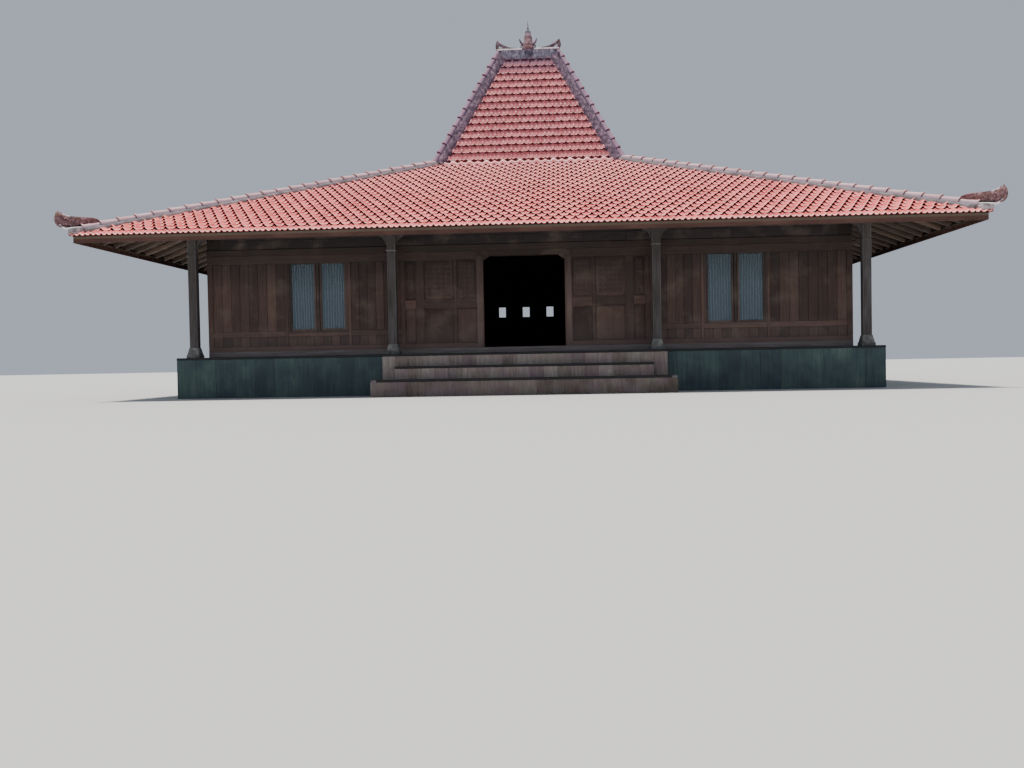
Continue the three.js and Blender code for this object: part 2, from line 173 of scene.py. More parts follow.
def ramp(value, places, codes):
    """Colour that runs through screen colours, each at its own place from 0 to 1."""
    stops = [(place, ink(code)) for place, code in zip(places, codes)]
    return value.node("ValToRGB", {"stops": stops}, {0: value})


def blend(factor, colour, code):
    """Colour that goes over to a screen colour as the factor goes from 0 to 1."""
    return factor.node("Mix", {"data_type": "RGBA"}, {0: factor, 6: colour, 7: ink(code)}, out=2)


def noise(place, size, detail=3.0, rough=0.55, stretch=(1.0, 1.0, 1.0)):
    """Cloudy value from 0 to 1 with blots of about a size in metres, drawn out by a stretch on each axis."""
    scale = tuple(1.0 / (size * part) for part in stretch)
    spot = place.node("VectorMath", {"operation": "MULTIPLY"}, {0: place, 1: scale})
    return place.node("TexNoise", {}, {"Vector": spot, "Scale": 1.0, "Detail": detail, "Roughness": rough})


def between(value, low, high):
    """0 below the low value, 1 above the high one, and straight between."""
    return value.node("MapRange", {}, {"Value": value, "From Min": low, "From Max": high})


def mark(place, name, out="Fac"):
    """A value that the mesh carries on its points."""
    return place.node("Attribute", {"attribute_name": name}, {}, out=out)


def coat(colour, roughness, height, depth):
    """What a finish puts in the shader. The height, from 0 to 1, raises the surface by up to the depth."""
    normal = height.node("Bump", {}, {"Height": height, "Distance": depth})
    return {"Base Color": colour, "Roughness": roughness, "Normal": normal}


def finish(name, recipe):
    """A material: the recipe gets object coordinates and returns what goes in each socket of the shader."""
    made = bpy.data.materials.new(name)
    made.use_nodes = True
    nodes = made.node_tree.nodes
    place = Signal(nodes.new("ShaderNodeTexCoord").outputs["Object"])
    for socket, value in recipe(place).items():
        feed(nodes["Principled BSDF"].inputs[socket], value)
    return made


class Shape:
    """Points and triangles. Each point has a tone, one value from 0 to 1 for each board or stone, and a
    grain vector, its place in that board with the long side first."""

    def __init__(self, points, faces, tone=None, grain=None):
        self.points = points
        self.faces = faces
        self.tone = np.full(len(points), 0.5) if tone is None else tone
        self.grain = points if grain is None else grain

    def placed(self, where):
        """The shape with its points sent through a function."""
        return Shape(where(self.points), self.faces, self.tone, self.grain)

    def mirrored(self, x, y):
        """The shape with X and Y each kept by 1 or turned over by -1, its faces still outwards."""
        faces = self.faces if x * y > 0 else self.faces[:, ::-1]
        return Shape(self.points * (x, y, 1), faces, self.tone, self.grain)


def joined(shapes):
    """One shape of several."""
    starts = np.cumsum([0] + [len(shape.points) for shape in shapes])
    faces = [shape.faces + start for shape, start in zip(shapes, starts)]
    points, tone, grain = ([getattr(shape, part) for shape in shapes] for part in ("points", "tone", "grain"))
    return Shape(*(np.concatenate(part) for part in (points, faces, tone, grain)))


def show(name, shape, material, slot, *nodes, crease=40):
    """Makes the shape an object that stands for those nodes of the frame, with edges past a crease sharp."""
    mesh = bpy.data.meshes.new(name)
    mesh.vertices.add(len(shape.points))
    mesh.vertices.foreach_set("co", np.float32(shape.points).ravel())
    mesh.loops.add(shape.faces.size)
    mesh.loops.foreach_set("vertex_index", np.int32(shape.faces).ravel())
    mesh.polygons.add(len(shape.faces))
    mesh.polygons.foreach_set("loop_start", np.arange(0, shape.faces.size, 3, dtype=np.int32))
    mesh.update(calc_edges=True)
    tone = mesh.attributes.new("tone", "FLOAT", "POINT")
    tone.data.foreach_set("value", np.float32(shape.tone))
    grain = mesh.attributes.new("grain", "FLOAT_VECTOR", "POINT")
    grain.data.foreach_set("vector", np.float32(shape.grain).ravel())
    mesh.shade_smooth()
    mesh.set_sharp_from_angle(angle=np.radians(crease))
    mesh.materials.append(material)
    piece = bpy.data.objects.new(name, mesh)
    bpy.context.collection.objects.link(piece)
    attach(piece, "root")
    if nodes:
        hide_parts(*nodes)
    return piece


luck = np.random.default_rng(11)
BLOCK_SIGNS = np.repeat([(x, y, z) for x in (-1, 1) for y in (-1, 1) for z in (-1, 1)], 3, axis=0)
BLOCK_INSET = 1 - np.tile(np.eye(3), (8, 1))
GRAIN_REACH = 40


def block_faces():
    """Triangles of one chamfered block: six faces, twelve edge strips and eight corners, wound outwards."""
    def number(side, axis):
        return (4 * side[0] + 2 * side[1] + side[2]) * 3 + axis

    rings = []
    for axis in range(3):
        first = (axis + 1) % 3
        second = (axis + 2) % 3
        for a, b in ((0, 0), (0, 1), (1, 0), (1, 1)):
            ends = np.zeros((2, 3), int)
            ends[:, first] = a
            ends[:, second] = b
            ends[1, axis] = 1
            low, high = ends
            rings.append([number(low, first), number(high, first), number(high, second), number(low, second)])
        for side in (0, 1):
            spots = np.zeros((4, 3), int)
            spots[:, axis] = side
            spots[:, first] = (0, 1, 1, 0)
            spots[:, second] = (0, 0, 1, 1)
            rings.append([number(spot, axis) for spot in spots])
    rings = np.array(rings)
    faces = np.concatenate([rings[:, :3], rings[:, [0, 2, 3]], np.arange(24).reshape(8, 3)])
    points = BLOCK_SIGNS * (1 - 0.2 * BLOCK_INSET)
    a, b, c = points[faces].swapaxes(0, 1)
    inward = np.einsum("ij,ij->i", np.cross(b - a, c - a), a) < 0
    faces[inward] = faces[inward][:, ::-1]
    return faces


BLOCK_FACES = block_faces()


def blocks(low, high, chamfer=0.004):
    """Chamfered blocks between rows of low and high corners. A point on a face is the middle plus its corner
    signs times the half size, drawn in by the chamfer on the two axes along that face. A chamfer may have a
    size of its own on each axis."""
    low = np.atleast_2d(np.asarray(low, float))
    high = np.atleast_2d(np.asarray(high, float))
    middle = (low + high) / 2
    half = (high - low) / 2
    count = len(low)
    points = middle[:, None] + BLOCK_SIGNS * (half[:, None] - BLOCK_INSET * chamfer)
    faces = BLOCK_FACES + 24 * np.arange(count)[:, None, None]
    longest = np.argsort(-half, axis=1)[:, None]
    grain = np.take_along_axis(points - middle[:, None], longest, axis=2)
    grain += luck.uniform(0, GRAIN_REACH, (count, 1, 3))
    tone = np.repeat(luck.random(count), 24)
    return Shape(points.reshape(-1, 3), faces.reshape(-1, 3), tone, grain.reshape(-1, 3))


def spans(start, end, width, gap=0.003):
    """Low and high ends of the equal lengths nearest to a width between start and end, with gaps."""
    edges = np.linspace(start, end, max(1, round((end - start) / width)) + 1)
    return edges[:-1] + gap / 2, edges[1:] - gap / 2


def row(x_ends, y_ends, z_ends, chamfer=0.004):
    """Blocks for every pairing of ends along X, Y and Z. Each is a pair of lows and highs."""
    low, high = (np.stack(np.meshgrid(*side, indexing="ij"), axis=-1).reshape(-1, 3)
                 for side in zip(x_ends, y_ends, z_ends))
    return blocks(low, high, chamfer)


def turned(quarter, out=0.0):
    """Function that sets a shape made facing -Y, with its face at y = 0, a distance out from the house's
    middle, and turns it by quarters: 0 front, 1 right, 2 back, 3 left."""
    cosine, sine = ((1, 0), (0, 1), (-1, 0), (0, -1))[quarter]

    def where(points):
        x, y, z = points[:, 0], points[:, 1] - out, points[:, 2]
        return np.stack([cosine * x - sine * y, sine * x + cosine * y, z], axis=1)
    return where


def slate(place):
    """Dark stone: blots of green and blue grey, rain streaks drawn out upwards, and fine pits."""
    blots = noise(place, 0.5, 5)
    streaks = noise(place, 0.05, 3, stretch=(1, 1, 14))
    pits = noise(place, 0.012, 3, 0.7)
    mixture = blots * 0.55 + streaks * 0.35 + mark(place, "tone") * 0.12
    colour = ramp(mixture, (0.3, 0.47, 0.6, 0.78), ("29353c", "3a494f", "4a5d5a", "6d7974"))
    return coat(colour, 0.72 + blots * 0.2, pits + blots, 0.004)


def sandstone(*codes):
    """Recipe for grey-brown sandstone: each slab its own tone, mauve or greenish in clouds, with pale lime
    runs and darker streaks."""
    def recipe(place):
        streaks = noise(place, 0.035, 4, 0.6, stretch=(1, 1, 9))
        blots = noise(place, 0.35, 4)
        pits = noise(place, 0.01, 2, 0.7)
        mixture = mark(place, "tone") * 0.18 + streaks * 0.5 + blots * 0.32
        colour = ramp(mixture, (0.3, 0.48, 0.62, 0.8), codes)
        colour = blend(between(noise(place, 0.45, 3), 0.45, 0.62) * 0.45, colour, "7f6874")
        colour = blend(between(blots, 0.52, 0.68) * 0.4, colour, "727468")
        return coat(colour, 0.75 + streaks * 0.15, pits + streaks, 0.003)
    return recipe


def black_stone(place):
    """Black nosing stone, honed, with a grey bloom where feet wear it."""
    worn = noise(place, 0.2, 4)
    colour = ramp(worn, (0.4, 0.75), ("060709", "141517"))
    return coat(colour, 0.45 + worn * 0.3, noise(place, 0.01, 2), 0.0015)


def blotted(size, codes, places=(0.3, 0.5, 0.72), detail=5, roughness=0.9, depth=0.006, grit=None):
    """Recipe for mortar, wash, stone or clay that weather has blotted. The blots run through the colours and
    raise the surface. Grit is the size, detail, roughness and share of finer grains that raise it too."""
    def recipe(place):
        blots = noise(place, size, detail)
        height = noise(place, *grit[:3]) * grit[3] + blots if grit else blots
        return coat(ramp(blots, places, codes), roughness, height, depth)
    return recipe


SLATE = finish("dark blue-green stone", slate)
SANDSTONE = finish("grey-brown sandstone", sandstone("5c504c", "83766f", "9b8f8a", "c0b7b2"))
DAMP_SANDSTONE = finish("damp sandstone", sandstone("4c413b", "6a5e57", "7e726b", "9c938d"))
BLACK_STONE = finish("black nosing stone", black_stone)
MORTAR = finish("grey mortar", blotted(0.3, ("4f4d50", "716e72", "979499"), grit=(0.006, 2, 0.8, 0.4)))
SLAB_DEPTH = 0.04
SLAB_CHAMFER = 0.003
PLINTH_SLAB = 0.42
LANDING_SLAB = 0.28
PAVER = 0.6
PAVING_DROP = 0.001
MORTAR_RECESS = 0.006
CORE_CHAMFER = 0.01
NOSING_LONG = 1.2
NOSING_TALL = 0.046
NOSING_PROUD = 0.012
NOSING_DEEP = 0.09
EASED = 0.006
LANDING_HALF = 2.97

plinth_low, plinth_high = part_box("plinth")
PLINTH_X, PLINTH_Y, FLOOR_Z = plinth_high
LANDING_OUT = -plinth_low[1]


def masonry(half, front, back, top):
    """The mass behind the slabs, drawn back from their faces by the depth of the joints."""
    inset = MORTAR_RECESS
    return blocks((-half + inset, front + inset, 0), (half - inset, back - inset, top - inset), CORE_CHAMFER)


def facing(half, out, top, width, quarter=0):
    """Upright slabs in a row under a nosing, on the face that stands a distance out."""
    slabs = row(spans(-half, half, width), (0, SLAB_DEPTH), (0, top - NOSING_TALL), SLAB_CHAMFER)
    return slabs.placed(turned(quarter, out))


def end_slabs(half, front, back, top):
    """A slab on each of the two ends of a step."""
    return joined([blocks((x, front + SLAB_DEPTH, 0), (x + SLAB_DEPTH, back, top - NOSING_TALL), SLAB_CHAMFER)
                   for x in (-half, half - SLAB_DEPTH)])


def nosing(start, end, out, top, quarter=0):
    """Black slabs along the top edge, a little proud of the face."""
    edge = row(spans(start, end, NOSING_LONG), (-NOSING_PROUD, NOSING_DEEP), (top - NOSING_TALL, top), EASED)
    return edge.placed(turned(quarter, out))


def paving(x_ends, y_ends, top, width=PAVER):
    """Slabs over a floor."""
    long = y_ends if width != PAVER else spans(*y_ends, PAVER)
    return row(spans(*x_ends, width), long, (top - SLAB_DEPTH, top), SLAB_CHAMFER)


core = joined([
    masonry(PLINTH_X, -PLINTH_Y, PLINTH_Y, FLOOR_Z),
    masonry(LANDING_HALF, -LANDING_OUT, 0, FLOOR_Z),
])
show("plinth_core", core, MORTAR, "ridge_mortar", "plinth")
sides = [facing(PLINTH_X, PLINTH_Y, FLOOR_Z, PLINTH_SLAB, quarter) for quarter in (0, 2)]
sides += [facing(PLINTH_Y - SLAB_DEPTH, PLINTH_X, FLOOR_Z, PLINTH_SLAB, quarter) for quarter in (1, 3)]
show("plinth_slabs", joined(sides), SLATE, "plinth_stone", "plinth")
inner_x, inner_y = PLINTH_X - NOSING_DEEP, PLINTH_Y - NOSING_DEEP
pavers = joined([
    paving((-inner_x, inner_x), (-inner_y, inner_y), FLOOR_Z - PAVING_DROP),
    paving((-LANDING_HALF, LANDING_HALF), (-LANDING_OUT + NOSING_DEEP, -inner_y), FLOOR_Z - PAVING_DROP),
])
show("plinth_paving", pavers, SLATE, "plinth_stone", "plinth")
edges = [
    nosing(-PLINTH_X, -LANDING_HALF, PLINTH_Y, FLOOR_Z),
    nosing(LANDING_HALF, PLINTH_X, PLINTH_Y, FLOOR_Z),
    nosing(-LANDING_HALF, LANDING_HALF, LANDING_OUT, FLOOR_Z),
    nosing(-PLINTH_X, PLINTH_X, PLINTH_Y, FLOOR_Z, 2),
]
edges += [nosing(-inner_y, inner_y, PLINTH_X, FLOOR_Z, quarter) for quarter in (1, 3)]
show("plinth_nosing", joined(edges), BLACK_STONE, "plinth_stone", "plinth")
landing = [facing(LANDING_HALF, LANDING_OUT, FLOOR_Z, LANDING_SLAB),
           end_slabs(LANDING_HALF, -LANDING_OUT, -PLINTH_Y, FLOOR_Z)]
show("landing_slabs", joined(landing), SANDSTONE, "step_stone", "plinth")

# Steps. Two long steps of masonry before the landing, faced and topped with brown sandstone slabs, each
# with a thin black nosing along its front edge.
for node, stone in (("middle_step", SANDSTONE), ("bottom_step", DAMP_SANDSTONE)):
    low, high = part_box(node)
    half, front, back, top = high[0], low[1], high[1], high[2]
    show(node + "_core", masonry(half, front, back, top), MORTAR, "ridge_mortar", node)
    slabs = joined([
        facing(half, -front, top, LANDING_SLAB),
        end_slabs(half, front, back, top),
        paving((-half, half), (front + NOSING_DEEP, back), top, PLINTH_SLAB),
    ])
    show(node + "_slabs", slabs, stone, "step_stone", node)
    edge = min(half, LANDING_HALF)
    show(node + "_nosing", nosing(-edge, edge, -front, top), BLACK_STONE, "step_stone", node)


# Posts. Twelve square posts of weathered teak stand round the veranda on tapered base stones, with a carved
# bracket each side under the eave beam. Four stouter ones inside carry the upper roof.
def moved(x, y, z):
    """Function that shifts points."""
    return lambda points: points + (x, y, z)


def spread(x, y, z):
    """Grid of points from X, Y and Z, each given along the rows, along the columns or over both."""
    return np.stack(np.broadcast_arrays(x, y, z), axis=-1)


def grid_faces(rows, columns, closed=False):
    """Triangles between neighbours on a grid of rows by columns points, facing the side from which columns
    run right and rows run up. Closed joins the last column to the first."""
    index = np.arange(rows * columns).reshape(rows, columns)
    if closed:
        index = np.hstack([index, index[:, :1]])
    a, b, c, d = index[:-1, :-1], index[:-1, 1:], index[1:, 1:], index[1:, :-1]
    return np.concatenate([np.stack(corners, -1).reshape(-1, 3) for corners in ((a, b, c), (a, c, d))])


def stacked(outlines):
    """Closed solid through a stack of outlines, each a row of the same number of points. Its ends are fans
    round the middle of the end outlines, and it is turned so that its volume counts as positive."""
    rows, columns = outlines.shape[:2]
    points = np.concatenate([outlines.reshape(-1, 3), outlines[:1].mean(axis=1), outlines[-1:].mean(axis=1)])
    ring = np.arange(columns)
    following = np.roll(ring, -1)
    last = (rows - 1) * columns
    under = np.stack([np.full(columns, rows * columns), following, ring], axis=1)
    over = np.stack([np.full(columns, rows * columns + 1), ring + last, following + last], axis=1)
    faces = np.concatenate([grid_faces(rows, columns, closed=True), under, over])
    a, b, c = points[faces].swapaxes(0, 1)
    volume = np.einsum("ij,ij->", a, np.cross(b, c))
    return Shape(points, faces if volume > 0 else faces[:, ::-1])


def square_outline(half, chamfer, z):
    """Square with cut corners at a height: three points to a corner, the middle one on the cut."""
    inner = half - chamfer
    cut = np.array([(inner, -half), (half - chamfer / 2, chamfer / 2 - half), (half, -inner)])
    corners = np.concatenate([cut @ np.linalg.matrix_power([[0, 1], [-1, 0]], k) for k in range(4)])
    return np.column_stack([corners, np.full(12, z)])


def plate(outline, low, high):
    """Plate between two values of Y with an upright outline of X and Z points, counter-clockwise from -Y."""
    x, z = np.asarray(outline, float).T
    return stacked(spread(x, np.array([[high], [low]]), z))


def weathered_teak(place):
    """Old teak in the open: silver grey over brown, with long fibres and dark checks, and pale corners that
    are partly wear and partly a painted highlight.
    """
    fibre = noise(place, 0.012, 4, 0.6, stretch=(1, 1, 40))
    weather = noise(place, 0.25, 4, stretch=(1, 1, 4))
    checks = between(noise(place, 0.02, 2, stretch=(1, 1, 50)), 0.68, 0.74)
    colour = ramp(fibre * 0.5 + weather * 0.5, (0.32, 0.5, 0.68), ("2f2a28", "4a4544", "68636a"))
    # Pale corners: partly wear, partly a painted highlight along the post's edges.
    colour = blend(between(mark(place, "tone"), 0.55, 1.0) * 0.5, colour, "99959d")
    colour = blend(checks * 0.7, colour, "2b2522")
    return coat(colour, 0.7 + fibre * 0.2, fibre - checks, 0.003)


POST_TEAK = finish("weathered teak", weathered_teak)
BASE_STONE = finish("grey dressed stone", blotted(0.12, ("4a4b4b", "6d6d6c", "8f8e8b"), (0.3, 0.5, 0.7),
                                                  roughness=0.85, depth=0.004, grit=(0.008, 3, 0.75, 0.5)))
BASE_CHAMFER = 0.012
POST_CHAMFER = 0.016
POST_WIDE = 0.18
POST_STONE = (0.205, 0.22)
MAIN_WIDE = 0.22
MAIN_STONE = (0.25, 0.26)
POST_LEVELS = 9
CORNER_WEAR_AND_SHEEN = (0.35, 1.0, 0.35)
ROW_MARGIN = 0.3
INSIDE_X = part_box("front_post_4")[1][0] - ROW_MARGIN
INSIDE_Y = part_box("back_post_1")[1][1] - ROW_MARGIN
BEAM_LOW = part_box("front_eave_beam")[0][2]
BRACKET = np.array([(0.0, -0.50), (0.03, -0.46), (0.06, -0.39), (0.12, -0.33), (0.21, -0.26), (0.29, -0.17),
                    (0.36, -0.07), (0.39, 0.0), (0.0, 0.0)])
BRACKET_HALF = 0.035
COLLAR_Z = (3.06, 3.09)
COLLAR_PROUD = 0.008


def post_pieces(node, wide, top_wide, tall):
    """A post with chamfered edges on a base stone of two tiers, both within the node's box. The stone has the
    given width at its top, and the given height."""
    low, high = map(np.array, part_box(node))
    middle = (low + high) / 2 * (1, 1, 0)
    foot = (high[0] - low[0]) / 2
    top = top_wide / 2
    levels = ((0, foot), (0.24, foot), (0.27, foot - 0.008), (0.33, foot - 0.014),
              (0.9, top), (1, top - 0.006))
    stone = np.array([square_outline(half, BASE_CHAMFER, low[2] + share * tall) for share, half in levels])
    heights = np.linspace(low[2] + tall, high[2], POST_LEVELS)
    shaft = stacked(np.array([square_outline(wide / 2, POST_CHAMFER, z) for z in heights]) + middle)
    # The chamfered corners get tone 1, which the finish paints pale: partly wear, partly a painted highlight.
    shaft.tone = np.append(np.tile(CORNER_WEAR_AND_SHEEN, 4 * POST_LEVELS), [CORNER_WEAR_AND_SHEEN[0]] * 2)
    show(node + "_base", stacked(stone + middle), BASE_STONE, "base_stone", node, crease=30)
    show(node + "_shaft", shaft, POST_TEAK, "post_teak", node, crease=60)


def post_brackets(node):
    """A collar round a veranda post, and curved brackets under the eave beams that run on from it."""
    low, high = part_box(node)
    x, y, _ = (low + high) / 2
    ways = []
    if abs(y) > INSIDE_Y:
        ways += [(0, x < INSIDE_X), (2, x > -INSIDE_X)]
    if abs(x) > INSIDE_X:
        ways += [(1, y < INSIDE_Y), (3, y > -INSIDE_Y)]
    arm = plate(BRACKET + (POST_WIDE / 2, BEAM_LOW), -BRACKET_HALF, BRACKET_HALF)
    arms = [arm.placed(turned(quarter)) for quarter, wanted in ways if wanted]
    collar = POST_WIDE / 2 + COLLAR_PROUD
    arms.append(blocks((-collar, -collar, COLLAR_Z[0]), (collar, collar, COLLAR_Z[1]), EASED))
    show(node + "_brackets", joined(arms).placed(moved(x, y, 0)), POST_TEAK, "post_teak", node)


for side, count in (("front", 4), ("back", 4), ("left", 2), ("right", 2)):
    for number in range(1, count + 1):
        post_pieces(f"{side}_post_{number}", POST_WIDE, *POST_STONE)
        post_brackets(f"{side}_post_{number}")
for number in range(1, 5):
    post_pieces(f"main_post_{number}", MAIN_WIDE, *MAIN_STONE)


# Beams. Squared teak beams on the veranda posts carry the feet of the rafters, and a ring beam on the four
# inner posts carries the break of the roof.
def teak(dark, middle, light, along=None):
    """Recipe for teak boards: long fibres and growth bands along the grain, each board its own tone, with
    dust and wear in blots. Solids of the frame carry no grain, so they name their axes, long one first."""
    def recipe(place):
        if along:
            axes = {number: place.part(axis) for number, axis in enumerate(along)}
            grain = place.node("CombineXYZ", {}, axes)
            tone = noise(place, 1.1, 1)
        else:
            grain = mark(place, "grain", "Vector")
            tone = mark(place, "tone")
        fibre = noise(grain, 0.007, 4, 0.6, stretch=(60, 1, 1))
        bands = noise(grain, 0.05, 3, 0.5, stretch=(14, 1, 1))
        wear = noise(place, 0.45, 4)
        colour = ramp(fibre * 0.3 + bands * 0.35 + tone * 0.35, (0.25, 0.5, 0.75), (dark, middle, light))
        colour = blend(between(wear, 0.5, 0.8) * 0.35, colour, "8a7c70")
        return coat(colour, 0.55 + wear * 0.25, fibre + bands, 0.002)
    return recipe


def clad(material, *nodes):
    """Gives solids of the frame a material in place of their own."""
    for node in nodes:
        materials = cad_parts[node].data.materials
        materials.clear()
        materials.append(material)


BEAM_TINTS = ("3a2a22", "57443a", "7a675b")
BEAM_X = finish("beam teak along X", teak(*BEAM_TINTS, "XYZ"))
BEAM_Y = finish("beam teak along Y", teak(*BEAM_TINTS, "YXZ"))
clad(BEAM_X, "front_eave_beam", "back_eave_beam", "upper_ring_beam")
clad(BEAM_Y, "left_eave_beam", "right_eave_beam")


# Walls. Teak frames filled with panels near the door and with upright boards beyond, on a pale sill beam.
# The walls' own boards are the ground, and stiles, rails, panels and boards are fixed on them.
def eave_shade_and_foot_light(recipe):
    """The recipe of a timber on the walls, with painted shade darkening it towards the top under the eaves
    and painted light making it paler at its foot.
    """
    def shaded(place):
        values = recipe(place)
        height = place.part("Z")
        # Painted shade: near black towards the top, under the eaves. Painted light: pale grey towards the
        # foot.
        colour = blend(between(height, 2.3, 2.95) * 0.62, values["Base Color"], "0e0c0e")
        colour = blend((1.0 - between(height, 1.05, 1.55)) * 0.2, colour, "8a7a7a")
        return {**values, "Base Color": colour}
    return shaded


WALL_TEAK = finish("wall teak", eave_shade_and_foot_light(teak("2c1e1b", "44302a", "614941")))
WALL_GROUND = finish("wall ground teak", eave_shade_and_foot_light(teak("231714", "38261f", "4e382f", "ZXY")))
# Painted shade: the frieze boards high under the eaves are near black.
FRIEZE_TEAK_IN_SHADE = finish("dark frieze teak", teak("191315", "281f21", "3d3134"))
JOINERY = finish("joinery teak", eave_shade_and_foot_light(teak("32241f", "4c3730", "6b5048")))
SILL_TEAK = finish("pale sill teak", teak("6c6260", "948b8b", "bcb5b8"))
# Painted shade: the head board over the door is near black.
HEAD_TEAK_IN_SHADE = finish("dark head teak", teak("1c1310", "2e201a", "43312a"))

WALL_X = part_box("front_wall_right")[1][0]
WALL_Y = -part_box("front_wall_right")[0][1]
SIDE_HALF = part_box("right_wall")[1][1]
DOOR_OUT = -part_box("door_frame")[0][1]
FRAME_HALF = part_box("door_frame")[1][0]
DOOR_HALF = 0.88
SILL_Z = 0.99
BOTTOM_RAIL = (0.99, 1.09)
WAINSCOT_RAIL = (1.30, 1.42)
MIDDLE_RAIL = (1.85, 2.04)
TOP_RAIL = (2.90, 3.08)
HEAD_BEAM = (3.08, 3.22)
HEAD_PROUD = 0.034
WALL_TOP = 4.04
TOP_PLANK = (WALL_TOP - 0.005, WALL_TOP + 0.095)
SILL_PROUD = 0.03
BEAM_CHAMFER = 0.008
SUNK = 0.02
BOARD_WIDE = 0.19
BOARD_PROUD = 0.008
BOARD_CHAMFER = 0.005
STILE_PROUD = 0.018
PANEL_PROUD = 0.012
MOULDING = 0.018
FIELD_GROOVE = 0.006
FIELD_SLOPES = np.array([0.035, 0.012, 0.035])
CARVED_RIM = 0.065
CARVED_CELL = 0.11
CARVED_STEPS = 11
CARVED_PROUD = 0.0125
CARVED_TALL = 0.009
VENT_Z = (2.18, 2.52)
VENT_RAIL = 0.06
VENT_PITCH = 0.816
VENT_HALF = 0.1175
FRIEZE_MARGIN = 0.3
FRIEZE_LONG = 2.2
FRIEZE_TALL = 0.2
FRONT_BAYS = [("panel", 1.03, 1.47), ("panel", 1.53, 2.18), ("panel", 2.36, 2.60), ("board", 2.70, 3.79),
              ("window", 3.85, 5.19), ("board", 5.25, 6.86)]
SIDE_BAYS = [("window", -0.67, 0.67), ("board", 0.73, 2.25), ("board", 2.37, 3.95), ("board", 4.07, 5.71)]
BACK_BAYS = [("vent", -1.75, 1.75), ("board", 1.87, 3.43), ("board", 3.55, 5.11), ("board", 5.23, 6.86)]


def plank(x_ends, z_ends, proud, chamfer=0.004):
    """One board on the wall: its ends along the wall and up, and how far it stands out."""
    return blocks((x_ends[0], -proud, z_ends[0]), (x_ends[1], SUNK, z_ends[1]), chamfer)


def boarding(x_ends, z_ends):
    """Upright boards with a groove between them."""
    return row(spans(*x_ends, BOARD_WIDE, 0.002), (-BOARD_PROUD, SUNK), z_ends, BOARD_CHAMFER)


def raised_panel(x_ends, z_ends):
    """Fielded panel: a flat field with wide sloping borders, inside a thin moulding."""
    (x0, x1), (z0, z1) = x_ends, z_ends
    inside = (z0 + MOULDING, z1 - MOULDING)
    bars = ((x_ends, (z0, inside[0])), (x_ends, (inside[1], z1)),
            ((x0, x0 + MOULDING), inside), ((x1 - MOULDING, x1), inside))
    rim = MOULDING + FIELD_GROOVE
    return joined([plank(*bar, PANEL_PROUD) for bar in bars]
                  + [blocks((x0 + rim, -PANEL_PROUD, z0 + rim), (x1 - rim, SUNK, z1 - rim), FIELD_SLOPES)])


def carved_field(x_ends, z_ends):
    """Carved field of a panel: a lattice of rosettes. In each cell, with r and t round its middle, the height
    is a bell over r / (0.75 + 0.2 cos 4t), less a bowl in its heart, and it fades out at the field's edge."""
    (x0, x1), (z0, z1) = x_ends, z_ends
    across = max(round((x1 - x0) / CARVED_CELL), 1)
    upward = max(round((z1 - z0) / CARVED_CELL), 1)
    x, z = np.meshgrid(*(np.linspace(0, cells, CARVED_STEPS * cells + 1) for cells in (across, upward)))
    a, b = 2 * (x % 1) - 1, 2 * (z % 1) - 1
    r, t = np.hypot(a, b), np.arctan2(b, a)
    bell = np.cos(np.pi / 2 * np.clip(r / (0.75 + 0.2 * np.cos(4 * t)), 0, 1)) ** 2
    edge = np.minimum(np.minimum(x, across - x), np.minimum(z, upward - z))
    tall = CARVED_TALL * (bell - 0.7 * np.clip(1 - 3 * r, 0, 1)) * np.clip(edge * 4, 0, 1)
    points = spread(x0 + (x1 - x0) * x / across, -CARVED_PROUD - tall, z0 + (z1 - z0) * z / upward)
    points = points.reshape(-1, 3)
    return Shape(points, grid_faces(*x.shape), grain=points[:, ::-1])


def bay_infill(kind, x0, x1):
    """Panels, boards or nothing between two stiles."""
    if kind == "panel":
        carved_z = (MIDDLE_RAIL[1] + CARVED_RIM, TOP_RAIL[0] - CARVED_RIM)
        return [raised_panel((x0, x1), (BOTTOM_RAIL[1], MIDDLE_RAIL[0])),
                raised_panel((x0, x1), (MIDDLE_RAIL[1], TOP_RAIL[0])),
                carved_field((x0 + CARVED_RIM, x1 - CARVED_RIM), carved_z)]
    above = {
        "window": [],
        "board": [(WAINSCOT_RAIL[1], TOP_RAIL[0])],
        "vent": [(WAINSCOT_RAIL[1], VENT_Z[0] - VENT_RAIL), (VENT_Z[1] + VENT_RAIL, TOP_RAIL[0])],
    }
    return [boarding((x0, x1), z_ends) for z_ends in [(BOTTOM_RAIL[1], WAINSCOT_RAIL[0])] + above[kind]]


def bay_rails(kind, x0, x1):
    """Rails across one bay, and the boards between the openings of the one that has them."""
    if kind == "panel":
        return [plank((x0, x1), MIDDLE_RAIL, STILE_PROUD)]
    bars = [((x0, x1), WAINSCOT_RAIL)]
    if kind == "vent":
        low, high = VENT_Z
        openings = [VENT_PITCH * (k - 1.5) + side * VENT_HALF for k in range(4) for side in (-1, 1)]
        edges = [x0, *openings, x1]
        bars += [((x0, x1), (low - VENT_RAIL, low)), ((x0, x1), (high, high + VENT_RAIL))]
        bars += [(pair, VENT_Z) for pair in zip(edges[::2], edges[1::2])]
    return [plank(*bar, STILE_PROUD) for bar in bars]


